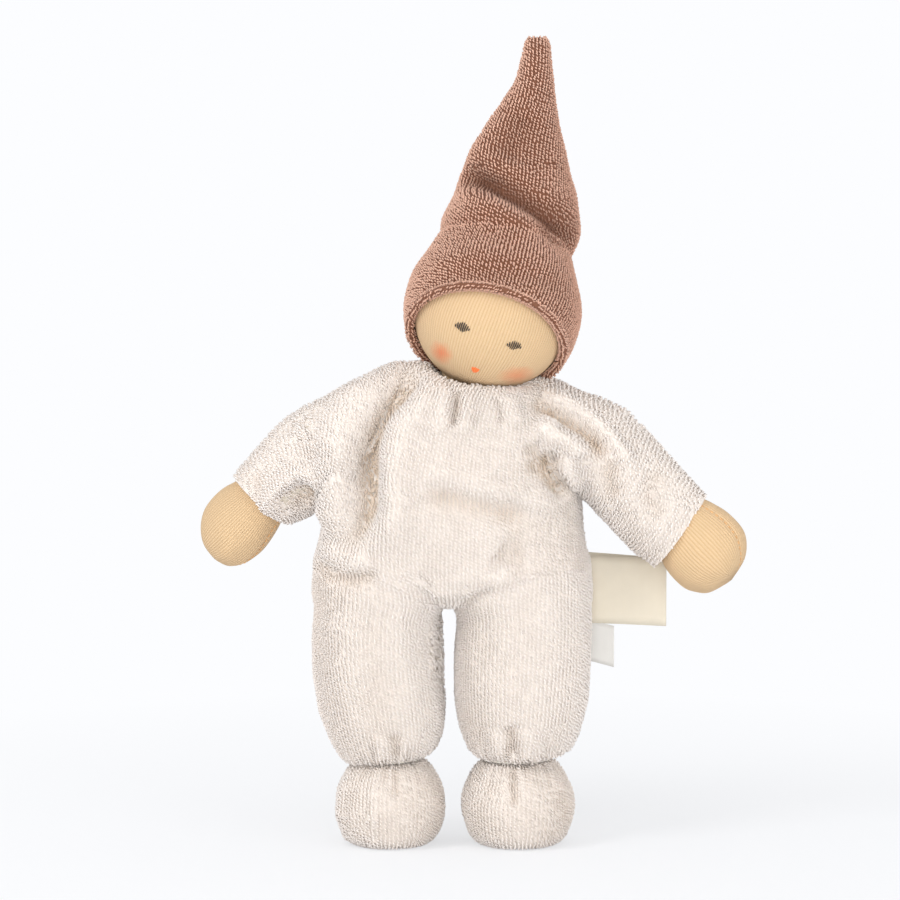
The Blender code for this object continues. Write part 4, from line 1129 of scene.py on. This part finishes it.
def make_forms():
    """Each towelling form at rest: its grid, how deep it is buried, and how far it is pressed into
    creases, which sets its painted shade there.
    """
    if forms:
        return forms
    plain, made = {}, {}
    for name, (rows, _, grain) in SUIT_FORMS.items():
        grid = ring_grid(rows, *grain)
        plain[name] = grid - normals(grid) * INSET * MM
    near = {name: LIMBS if name == "trunk" else ("trunk",) for name in plain}
    for name, grid in plain.items():
        for other in near[name]:
            grid = joined(grid, plain[other], JOIN_REACH)
        made[name] = grid
    smooth = dict(made)
    for name, (_, folds, _) in SUIT_FORMS.items():
        grid = folded(made[name], folds)
        grid = rumpled(grid, 1.1, 30.0, 3)
        grid = rumpled(grid, 0.5, 13.0, 5)
        made[name] = held_out(grid, name.replace("sleeve", "arm") + "_wool")
    made["trunk"] = gathered(made["trunk"], 34, 0.9, -12, 11.0, 21)
    for side in ("right", "left"):
        made[f"{side}_leg"] = gathered(made[f"{side}_leg"], 26, 0.8, -10, 8.0, 22)
    for name in made:
        depth = np.full(made[name].shape[:-1], -1.0)
        for other in near[name]:
            depth = np.maximum(depth, sunk(made[name], made[other]))
        forms[name] = (made[name], depth, crease_shade_share(smooth[name], made[name]))
    for side, across, share, folds in FEET:
        rows = np.array(FOOT_ROWS)
        rows[:, [0, 2, 4]] *= share
        rows[:, [0, 2]] += across
        rows[:, 5] += FOOT_Y
        plain_foot = ring_grid(rows, 70, 120, 2.0)
        grid = folded(plain_foot, folds)
        grid = gathered(grid, 22, 0.7, -8, 8.0, 23)
        above = smooth_step(grid[..., 2], 1.0 * MM, 8.0 * MM)[..., None]
        inset = normals(grid) * INSET * MM
        grid = grid + (rumpled(grid, 0.6, 14.0, 7) - grid - inset) * above
        grid = held_out(grid, f"{side}_foot_wool")
        grid[..., 2] = np.maximum(grid[..., 2], 2 * SOLE * MM)
        forms[f"{side}_foot"] = (grid, None, crease_shade_share(plain_foot, grid))
    peak, crown = ring_grid(CAP_PEAK_ROWS, 130, 120, 2.1), crown_grid()
    peak, crown = (grid - normals(grid) * INSET * MM for grid in (peak, crown))
    peak, crown = joined(peak, crown, CAP_JOIN_REACH), joined(crown, peak, CAP_JOIN_REACH)
    plain_peak, plain_crown = peak, crown
    peak = rumpled(folded(peak, PEAK_FOLDS), 0.5, 16.0, 9)
    crown = rumpled(folded(crown, PEAK_FOLDS + CROWN_FOLDS), 0.4, 18.0, 10)
    forms["peak"] = (peak, sunk(peak, crown), crease_shade_share(plain_peak, peak))
    forms["crown"] = (crown, sunk(crown, peak), crease_shade_share(plain_crown, crown))
    return forms


def opening_axes():
    """Three directions: out of the cap's opening, and two across it."""
    out = unit(CAP_OPENING)
    across = unit(np.cross(out, (0.0, 1.0, 0.0)))
    return out, across, np.cross(out, across)


def crown_grid():
    """The cap's crown: a ball round the head, from its hem to a point behind.

    point = middle + radius * (cos(a) * out + sin(a) * (cos(u) * across + sin(u) * up)), with a
    from the opening's angle to half a turn.
    """
    out, across, up = opening_axes()
    bend = np.radians(np.linspace(OPENING_ANGLE, 179.0, 100))[:, None, None]
    turn = turns(CAP_PLACES)[None, :, None]
    ring = np.cos(turn) * across + np.sin(turn) * up
    grid = np.array(HEAD_MIDDLE) + CAP_RADIUS * (np.cos(bend) * out + np.sin(bend) * ring)
    grid = grid * MM
    return outward(grid)


def hem_grid():
    """The rolled hem: a ring of circles round the cap's opening."""
    out, across, up = opening_axes()
    angle = math.radians(OPENING_ANGLE)
    turn = turns(CAP_PLACES)[None, :, None]
    ring = np.cos(turn) * across + np.sin(turn) * up
    way = math.cos(angle) * out + math.sin(angle) * ring
    past = -math.sin(angle) * out + math.cos(angle) * ring
    section = np.linspace(0, 2 * math.pi, 15)[:, None, None]
    middle = np.array(HEAD_MIDDLE) + (CAP_RADIUS - HEM_RADIUS) * way
    grid = middle + HEM_RADIUS * (np.cos(section) * way + np.sin(section) * past)
    grid = grid * MM
    facing = ((grid - middle * MM) * normals(grid)).sum()
    return grid if facing > 0 else grid[:, ::-1].copy()


def sleeve_end(grid):
    """A sleeve with its cuff turned in: rings that shrink and run back inside the cuff."""
    last, before = grid[-1], grid[-3]
    middle = last.mean(0)
    back = unit(before.mean(0) - middle)
    rings = []
    for shrink, depth in ((0.975, -0.3), (0.94, 0.0), (0.90, 0.9), (0.87, 2.4), (0.84, 5.0)):
        rings.append(middle + (last - middle) * shrink + back * depth * MM)
    return np.concatenate([grid, np.stack(rings)])


def head_place(longitude, latitude, radius):
    """Points on a ball round the head, in metres; longitude 0 faces the doll's front."""
    longitude, latitude = np.radians(longitude), np.radians(latitude)
    across = np.sin(longitude) * np.cos(latitude)
    forward = -np.cos(longitude) * np.cos(latitude)
    rise = np.sin(latitude)
    way = (
        np.multiply.outer(across, HEAD_X)
        + np.multiply.outer(forward, HEAD_Y)
        + np.multiply.outer(rise, HEAD_Z)
    )
    return (np.array(HEAD_MIDDLE) + radius * way) * MM


class DOLL_OT_suit(bpy.types.Operator):
    """Make the suit's body, sleeves and legs of cream towelling"""

    bl_idname = "doll.suit"
    bl_label = "Suit"

    def execute(self, context):
        colours = context.scene.doll_colours
        # Painted shade: the ground between the loops takes the darker cream of the pile's depths.
        cloth = ground_cloth("Cream ground cloth", tuple(colours.cream_root_shade))
        made = make_forms()
        trunk = skin_object("trunk_cloth", made["trunk"][0], cloth)
        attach(trunk, "torso")
        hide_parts("suit_trunk")
        for side, start, end in SHOULDERS:
            grid = sleeve_end(made[f"{side}_sleeve"][0])
            sleeve = skin_object(f"{side}_sleeve_cloth", grid, cloth)
            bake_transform(sleeve)
            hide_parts(f"{side}_sleeve")
        for side, start, end in HIPS:
            leg = skin_object(f"{side}_leg_cloth", made[f"{side}_leg"][0], cloth)
            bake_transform(leg)
            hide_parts(f"{side}_leg")
            foot = skin_object(f"{side}_foot_cloth", made[f"{side}_foot"][0], cloth)
            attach(foot, f"{side}_foot")
            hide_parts(f"{side}_foot")
        return {"FINISHED"}


class DOLL_OT_suit_loops(bpy.types.Operator):
    """Stand the loops of the towelling on the suit"""

    bl_idname = "doll.suit_loops"
    bl_label = "Suit loops"

    def execute(self, context):
        sizes = context.scene.doll_sizes
        colours = context.scene.doll_colours
        loops = towelling("Cream towelling", tuple(colours.cream_root_shade), tuple(colours.cream))
        made = make_forms()
        for face, sign in (("front", -1), ("back", 1)):
            item = pile_object(
                f"trunk_loops_{face}",
                made["trunk"],
                loops,
                sizes,
                gather=0.35,
                seed=31,
                only=lambda base, out, sign=sign: out[:, 1] * sign > 0,
            )
            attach(item, "torso")
        for side, start, end in SHOULDERS:
            sleeve = made[f"{side}_sleeve"]
            item = pile_object(
                f"{side}_sleeve_loops", sleeve, loops, sizes, across=True, gather=0.0, seed=32
            )
            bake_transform(item)
        for side, start, end in HIPS:
            leg = made[f"{side}_leg"]
            item = pile_object(f"{side}_leg_loops", leg, loops, sizes, gather=0.6, seed=33)
            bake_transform(item)
            foot = made[f"{side}_foot"]
            item = pile_object(
                f"{side}_foot_loops", foot, loops, sizes, gather=0.6, seed=34, low=SOLE * MM
            )
            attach(item, f"{side}_foot")
        return {"FINISHED"}


class DOLL_OT_hands(bpy.types.Operator):
    """Make the knitted hands with the running stitch along their seam"""

    bl_idname = "doll.hands"
    bl_label = "Hands"

    def execute(self, context):
        sizes = context.scene.doll_sizes
        colours = context.scene.doll_colours
        skin = knitted_skin("Knitted skin of the hands", colours)
        seam_thread = thread("Hand seam thread", (0.62, 0.36, 0.16, 1.0))
        for side, (wrist, across, through, along) in (("left", LEFT_HAND), ("right", RIGHT_HAND)):
            rows = np.array(HAND_ROWS)
            run = length_run(rows)
            rows = hermite(rows, run, np.linspace(0, run[-1], 70))
            turn = turns(120)
            wide = rounded(np.cos(turn), 0.94)
            deep = np.sin(turn)
            grid = (
                np.array(wrist) + (0.0, 0.0, HAND_RISE)
                + rows[:, 0, None, None] * np.array(along)
                + rows[:, 1, None, None] * wide[:, None] * np.array(across)
                + rows[:, 2, None, None] * deep[:, None] * np.array(through)
            ) * MM
            if volume(grid) < 0:
                grid = grid[:, ::-1].copy()
                turn = turn[::-1]
            grid = rumpled(grid, 0.35, 12.0, 11)
            pushed = ((held_out(grid, f"{side}_hand_wool") - grid) * normals(grid)).sum(-1)
            for _ in range(10):
                pushed = (np.roll(pushed, 1, 1) + 2 * pushed + np.roll(pushed, -1, 1)) / 4
                pushed[1:-1] = (pushed[:-2] + 2 * pushed[1:-1] + pushed[2:]) / 4
            grid = grid + normals(grid) * pushed[..., None] * 1.2
            groove = np.exp(-((((turn + SEAM_TURN[side]) % (2 * math.pi) - math.pi) / 0.07) ** 2))
            shape = smooth_step(rows[:, 0], 0.0, 4.0)[:, None] * groove
            grid = grid - normals(grid) * (shape * 0.5 * MM)[..., None]
            item = skin_object(f"{side}_hand_skin", grid, skin, wales=HAND_RIBS)
            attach(item, f"{side}_hand")
            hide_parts(f"{side}_hand")
            column = int(np.argmax(groove))
            line = grid[:, column]
            out = normals(grid)[:, column]
            run = length_run(line)
            stops = np.arange(9.0 * MM, run[-1] - 3 * MM, STITCH_STEP * MM)
            shares = np.array([-0.75, -0.45, 0.0, 0.45, 0.75]) * MM
            lift = np.array([-0.35, 0.12, 0.26, 0.12, -0.35]) * MM
            wanted = (stops[:, None] + shares).ravel()
            points = hermite(line, run, wanted).reshape(len(stops), 5, 3)
            rise = unit(hermite(out, run, wanted)).reshape(len(stops), 5, 3)
            stitches = tubes_object(
                f"{side}_hand_seam", points + rise * lift[:, None], sizes.thread, seam_thread, sides=6
            )
            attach(stitches, f"{side}_hand")
        return {"FINISHED"}


class DOLL_OT_head(bpy.types.Operator):
    """Make the head's ribbed skin with its rubbed-in blush"""

    bl_idname = "doll.head"
    bl_label = "Head"

    def execute(self, context):
        sizes = context.scene.doll_sizes
        colours = context.scene.doll_colours
        cheeks = []
        for longitude, latitude, wide, tall, strength in (
            (-CHEEK_LONGITUDE, CHEEK_LATITUDE - 3.4, 5.6, 5.6, 0.85),
            (CHEEK_LONGITUDE + 3.0, CHEEK_LATITUDE + 0.6, 8.4, 4.8, 0.62),
        ):
            middle = head_place(longitude, latitude, HEAD_RADIUS)
            cheeks.append((tuple(middle), wide * MM, tall * MM, strength))
        skin = knitted_skin("Knitted skin of the head", colours, cheeks)
        latitude = np.linspace(-89.0, 89.0, 150)[:, None] + np.zeros(240)
        longitude = np.zeros((150, 1)) + np.arange(240) * 360 / 240
        grid = outward(head_place(longitude, latitude, HEAD_RADIUS))
        grid = rumpled(grid, 0.22, 22.0, 13)
        item = skin_object("head_knit", grid, skin, wales=sizes.knit_ribs)
        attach(item, "head")
        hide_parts("head_skin")
        return {"FINISHED"}


class DOLL_OT_face(bpy.types.Operator):
    """Embroider the eyes and the mouth with single stitches"""

    bl_idname = "doll.face"
    bl_label = "Face"

    def execute(self, context):
        sizes = context.scene.doll_sizes
        colours = context.scene.doll_colours
        random = np.random.default_rng(41)
        eye = thread("Eye thread", tuple(colours.eye), 0.55)
        red = thread("Mouth thread", tuple(colours.mouth), 0.55)
        degree = 180 / math.pi / HEAD_RADIUS
        eye_plan = (EYE_LATITUDE, EYE_HALF_WIDTH, EYE_HALF_HEIGHT, eye, "eye_thread")
        mouth_plan = (MOUTH_LATITUDE, MOUTH_HALF_WIDTH, MOUTH_HALF_HEIGHT, red, "mouth_thread")
        plans = (
            ("right_eye", -EYE_LONGITUDE, *eye_plan),
            ("left_eye", EYE_LONGITUDE, *eye_plan),
            ("mouth", 0.0, *mouth_plan),
        )
        for name, longitude, latitude, wide, tall, material, slot in plans:
            share = np.linspace(-1, 1, FACE_STITCHES)
            if name == "mouth":
                top = tall * (1 - 0.25 * share**2)
                low = -tall * (1 - np.abs(share) ** 1.3 * 0.8)
            else:
                top = tall * (1 - share**2 * 0.75) + share * wide * 0.09
                low = -tall * (1 - np.abs(share) * 0.8) * 0.8 + share * wide * 0.09
            top = top + random.uniform(-0.2, 0.2, FACE_STITCHES)
            low = low + random.uniform(-0.2, 0.2, FACE_STITCHES)
            lean = random.uniform(-0.25, 0.25, FACE_STITCHES) + 0.3 * share
            run = np.linspace(0, 1, 7)
            x = (share * wide)[:, None] + lean[:, None] * (run - 0.5)
            z = low[:, None] + (top - low)[:, None] * run
            lift = np.array([-0.35, 0.1, 0.22, 0.26, 0.22, 0.1, -0.35])
            around = longitude + x * degree / math.cos(math.radians(latitude))
            line = head_place(around, latitude + z * degree, HEAD_RADIUS + 0.12)
            middle = np.array(HEAD_MIDDLE) * MM
            line = line + unit(line - middle) * (lift * MM)[None, :, None]
            item = tubes_object(
                f"{name}_stitches",
                line,
                sizes.thread,
                material,
                sides=6,
                ends=(0.5, 0.9, 1.0, 1.0, 1.0, 0.9, 0.5),
            )
            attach(item, "head")
            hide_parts(name)
        return {"FINISHED"}


class DOLL_OT_cap(bpy.types.Operator):
    """Make the cap of brown towelling: crown, hem, fold and point"""

    bl_idname = "doll.cap"
    bl_label = "Cap"

    def execute(self, context):
        colours = context.scene.doll_colours
        # Painted shade: the ground between the loops is a fifth darker than the cap's brown.
        cloth = ground_cloth("Brown ground cloth", darker(tuple(colours.brown), 0.8))
        made = make_forms()
        crown = made["crown"][0]
        middle = np.array(HEAD_MIDDLE) * MM
        inner = middle + (crown[::-1] - middle) * ((CAP_RADIUS - CAP_WALL) / CAP_RADIUS)
        shell = np.concatenate([inner, crown])
        item = skin_object("cap_crown_cloth", shell, cloth)
        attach(item, "head")
        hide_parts("cap_crown")
        item = ring_object("cap_hem_cloth", hem_grid(), cloth)
        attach(item, "head")
        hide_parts("cap_hem")
        peak = made["peak"][0]
        split = int(np.argmax(peak[..., 2].min(1) > FOLD_TOP * MM))
        fold = skin_object("cap_fold_cloth", peak[: split + 1], cloth)
        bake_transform(fold)
        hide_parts("cap_fold")
        point = skin_object("cap_point_cloth", peak[split:], cloth)
        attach(point, "cap_point")
        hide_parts("cap_point")
        return {"FINISHED"}


def ring_object(name, grid, material):
    """A ring of sections as an object; the first and last places of a section are one."""
    section, around = grid.shape[0] - 1, grid.shape[1]
    index = np.arange(section * around).reshape(section, around)
    right, up = np.roll(index, -1, 1), np.roll(index, -1, 0)
    quads = np.stack([index, right, np.roll(right, -1, 0), up], -1).reshape(-1, 4)
    points = grid[:-1].reshape(-1, 3)
    mesh = new_mesh(name, points, quads, np.empty((0, 3), int))
    k, j = np.meshgrid(np.arange(section) / section, np.arange(around) / around, indexing="ij")
    on, further = 1 / around, 1 / section
    corner = np.stack(
        [
            np.stack([j, k], -1),
            np.stack([j + on, k], -1),
            np.stack([j + on, k + further], -1),
            np.stack([j, k + further], -1),
        ],
        -2,
    )
    set_map(mesh, "OFBake", corner.reshape(-1, 2))
    return new_object(name, mesh, material)


class DOLL_OT_cap_loops(bpy.types.Operator):
    """Stand the loops of the towelling on the cap"""

    bl_idname = "doll.cap_loops"
    bl_label = "Cap loops"

    def execute(self, context):
        sizes = context.scene.doll_sizes
        colours = context.scene.doll_colours
        # Painted shade: the brown is a quarter darker deep in the pile; the paler tips are a painted
        # highlight.
        deep = darker(tuple(colours.brown), 0.75)
        loops = towelling("Brown towelling", deep, tuple(colours.brown_tip_highlight))
        made = make_forms()
        item = pile_object("cap_crown_loops", made["crown"], loops, sizes, seed=51, scale=0.86)
        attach(item, "head")
        hem = (hem_grid(), None, None)
        item = pile_object("cap_hem_loops", hem, loops, sizes, across=True, seed=52, scale=0.72)
        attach(item, "head")
        split = int(np.argmax(made["peak"][0][..., 2].min(1) > FOLD_TOP * MM))
        fold = [field[: split + 1] for field in made["peak"]]
        point = [field[split:] for field in made["peak"]]
        item = pile_object("cap_fold_loops", fold, loops, sizes, gather=0.1, seed=53, scale=0.86)
        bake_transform(item)
        item = pile_object("cap_point_loops", point, loops, sizes, gather=0.1, seed=54, scale=0.86)
        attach(item, "cap_point")
        return {"FINISHED"}


def strip_object(name, path, height, thickness, material, top):
    """A strip of ribbon standing on edge: a line on the ground plan, given height and thickness.

    Each side lies half the thickness from the line, square to it, and the section is closed.
    """
    path = np.asarray(path, float)
    step = np.gradient(path, axis=0)
    square = unit(np.stack([-step[:, 1], step[:, 0]], -1))
    levels = np.linspace(0, 1, 9)
    sides = []
    for sign in (1, -1):
        flat = path + square * thickness / 2 * sign
        wall = np.empty((len(path), len(levels), 3))
        wall[..., 0] = flat[:, None, 0]
        wall[..., 1] = flat[:, None, 1]
        wall[..., 2] = top[:, None] - height * levels
        sides.append(wall)
    ring = np.concatenate([sides[0], sides[1][:, ::-1]], 1)
    return skin_object(name, outward(ring), material)


class DOLL_OT_labels(bpy.types.Operator):
    """Sew in the folded ribbon label and the small care strip, both without print"""

    bl_idname = "doll.labels"
    bl_label = "Labels"

    def execute(self, context):
        colours = context.scene.doll_colours
        satin = ribbon_satin("Ribbon satin", tuple(colours.ribbon))
        paper = ribbon_satin("Care strip satin", (0.72, 0.70, 0.66, 1.0))
        out = np.array(LABEL_OUT[:2])
        square = np.array([-out[1], out[0]])
        seam = np.array(LABEL_SEAM[:2])
        gap = 0.75
        run = np.linspace(0, LABEL_LENGTH - gap, 40)
        sway = 0.5 * np.sin(run / LABEL_LENGTH * 4.0)
        spread = gap * np.minimum(1, run / 6 + 0.45)
        front = seam + run[:, None] * out + (sway - spread)[:, None] * square
        back = seam + run[:, None] * out + (sway + spread)[:, None] * square
        bend = np.linspace(-math.pi / 2, math.pi / 2, 12)[1:-1]
        end = seam + (LABEL_LENGTH - gap) * out + sway[-1] * square
        turn = end + gap * (np.cos(bend)[:, None] * out + np.sin(bend)[:, None] * square)
        path = np.concatenate([front, turn, back[::-1]]) * MM
        reach = (path / MM - seam) @ out
        top = (LABEL_SEAM[2] + 0.4 - 0.085 * reach + 0.6 * np.linspace(-1, 1, len(path))) * MM
        label = strip_object(
            "side_label_ribbon", path, LABEL_HEIGHT * MM, RIBBON * MM, satin, top
        )
        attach(label, "side_label")
        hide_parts("side_label")
        seam = np.array(CARE_SEAM[:2])
        run = np.linspace(0, CARE_WIDTH, 30)
        sway = 1.6 * (run / CARE_WIDTH) ** 2
        path = (seam + run[:, None] * out - sway[:, None] * square) * MM
        top = (CARE_SEAM[2] - 0.28 * run) * MM
        care = strip_object("care_strip", path, CARE_LENGTH * MM, RIBBON * MM, paper, top)
        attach(care, "care_label")
        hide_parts("care_label")
        return {"FINISHED"}


class DOLL_OT_inside(bpy.types.Operator):
    """Give the stuffing, the neck and the tying threads their materials"""

    bl_idname = "doll.inside"
    bl_label = "Stuffing and ties"

    def execute(self, context):
        colours = context.scene.doll_colours
        tie = thread("Tying thread", (0.78, 0.70, 0.60, 1.0))
        skin = ground_cloth("Neck knit", tuple(colours.skin))
        filling = wool("Wool stuffing")
        for name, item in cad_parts.items():
            if name.endswith("_tie"):
                chosen = tie
            elif name == "neck":
                chosen = skin
            elif name.endswith("_wool"):
                chosen = filling
            else:
                continue
            item.data.materials.clear()
            item.data.materials.append(chosen)
        return {"FINISHED"}


class DOLL_OT_stage(bpy.types.Operator):
    """Set up the pale floor, the soft studio light and the camera"""

    bl_idname = "doll.stage"
    bl_label = "Stage"

    def execute(self, context):
        scene = context.scene
        scene.view_settings.view_transform = "Standard"
        rings = np.linspace(0.001, 6.0, 40)
        turn = turns(96)
        floor_points = np.stack(
            [
                rings[:, None] * np.cos(turn),
                rings[:, None] * np.sin(turn),
                np.zeros((40, 96)),
            ],
            -1,
        )
        nodes = Nodes("Pale floor")
        uneven = nodes.spread(nodes.noise(6.0), 0.3, 0.7)
        tone = nodes.mix(uneven, (0.90, 0.905, 0.92, 1.0), (0.915, 0.92, 0.935, 1.0))
        nodes.cloth(tone, 0.9)
        rays = nodes.add("ShaderNodeLightPath")
        seen = nodes.maths("MAXIMUM", rays.outputs["Is Camera Ray"], rays.outputs["Is Glossy Ray"])
        seen = nodes.maths("MAXIMUM", seen, rays.outputs["Is Transmission Ray"])
        reach = nodes.add("ShaderNodeVectorMath", operation="LENGTH")
        nodes.join(nodes.places, reach.inputs[0])
        far = nodes.spread(reach.outputs["Value"], 0.1, 0.4, 0.6, 1.0)
        backdrop = nodes.add("ShaderNodeEmission")
        backdrop.inputs["Color"].default_value = BACKDROP
        backdrop.inputs["Strength"].default_value = 1.0
        blended = nodes.add("ShaderNodeMixShader")
        nodes.join(nodes.maths("MULTIPLY", seen, far), blended.inputs[0])
        nodes.join(nodes.shader.outputs[0], blended.inputs[1])
        nodes.join(backdrop.outputs[0], blended.inputs[2])
        output = [n for n in nodes.tree.nodes if n.type == "OUTPUT_MATERIAL"][0]
        nodes.join(blended.outputs[0], output.inputs["Surface"])
        floor = skin_object("floor", floor_points, nodes.material, closed=(True, False))

        world = bpy.data.worlds.new("Studio")
        world.use_nodes = True
        scene.world = world
        tree = world.node_tree
        plain = tree.nodes["Background"]
        plain.inputs["Color"].default_value = (0.97, 0.985, 1.0, 1.0)
        plain.inputs["Strength"].default_value = 0.76
        bright = tree.nodes.new("ShaderNodeBackground")
        bright.inputs["Color"].default_value = BACKDROP
        bright.inputs["Strength"].default_value = 1.0
        path = tree.nodes.new("ShaderNodeLightPath")
        seen = tree.nodes.new("ShaderNodeMath")
        seen.operation = "MAXIMUM"
        tree.links.new(path.outputs["Is Camera Ray"], seen.inputs[0])
        tree.links.new(path.outputs["Is Glossy Ray"], seen.inputs[1])
        either = tree.nodes.new("ShaderNodeMath")
        either.operation = "MAXIMUM"
        tree.links.new(seen.outputs[0], either.inputs[0])
        tree.links.new(path.outputs["Is Transmission Ray"], either.inputs[1])
        mixed = tree.nodes.new("ShaderNodeMixShader")
        tree.links.new(either.outputs[0], mixed.inputs[0])
        tree.links.new(plain.outputs[0], mixed.inputs[1])
        tree.links.new(bright.outputs[0], mixed.inputs[2])
        tree.links.new(mixed.outputs[0], tree.nodes["World Output"].inputs["Surface"])

        target = np.array(VIEW_MIDDLE) * MM
        for name, place, size, power in LAMPS:
            lamp = bpy.data.lights.new(name, "AREA")
            lamp.size = size
            lamp.energy = power
            item = bpy.data.objects.new(name, lamp)
            scene.collection.objects.link(item)
            item.location = place
            aim(item, target)

        lens = bpy.data.cameras.new("Photograph")
        lens.lens = VIEW_LENS
        lens.sensor_width = SENSOR
        lens.sensor_fit = "HORIZONTAL"
        camera = bpy.data.objects.new("Photograph", lens)
        scene.collection.objects.link(camera)
        down = math.radians(VIEW_DOWN)
        back = np.array([0.0, -math.cos(down), math.sin(down)])
        camera.location = target + back * VIEW_WIDTH * MM * VIEW_LENS / SENSOR
        aim(camera, target)
        scene.camera = camera
        return {"FINISHED"}


def aim(item, target):
    """Turn a lamp or camera to look at a point."""
    way = Vector(target) - item.location
    item.rotation_euler = way.to_track_quat("-Z", "Y").to_euler()


class DOLL_PT_panel(bpy.types.Panel):
    """The doll's pieces, in the sidebar of the 3D view"""

    bl_idname = "DOLL_PT_panel"
    bl_label = "Doll"
    bl_space_type = "VIEW_3D"
    bl_region_type = "UI"
    bl_category = "Doll"

    def draw(self, context):
        layout = self.layout
        for group in (context.scene.doll_sizes, context.scene.doll_colours):
            column = layout.column()
            for name in group.__annotations__:
                column.prop(group, name)
        for operator in OPERATORS:
            layout.operator(operator.bl_idname)


OPERATORS = (
    DOLL_OT_suit,
    DOLL_OT_suit_loops,
    DOLL_OT_hands,
    DOLL_OT_head,
    DOLL_OT_face,
    DOLL_OT_cap,
    DOLL_OT_cap_loops,
    DOLL_OT_labels,
    DOLL_OT_inside,
    DOLL_OT_stage,
)
CLASSES = (DollSizes, DollColours, *OPERATORS, DOLL_PT_panel)


def register():
    for item in CLASSES:
        bpy.utils.register_class(item)
    bpy.types.Scene.doll_sizes = bpy.props.PointerProperty(type=DollSizes)
    bpy.types.Scene.doll_colours = bpy.props.PointerProperty(type=DollColours)


def unregister():
    del bpy.types.Scene.doll_sizes
    del bpy.types.Scene.doll_colours
    for item in reversed(CLASSES):
        bpy.utils.unregister_class(item)


def main():
    register()
    bpy.ops.doll.suit()
    bpy.ops.doll.suit_loops()
    bpy.ops.doll.hands()
    bpy.ops.doll.head()
    bpy.ops.doll.face()
    bpy.ops.doll.cap()
    bpy.ops.doll.cap_loops()
    bpy.ops.doll.labels()
    bpy.ops.doll.inside()
    bpy.ops.doll.stage()


if __name__ == "__main__":
    main()
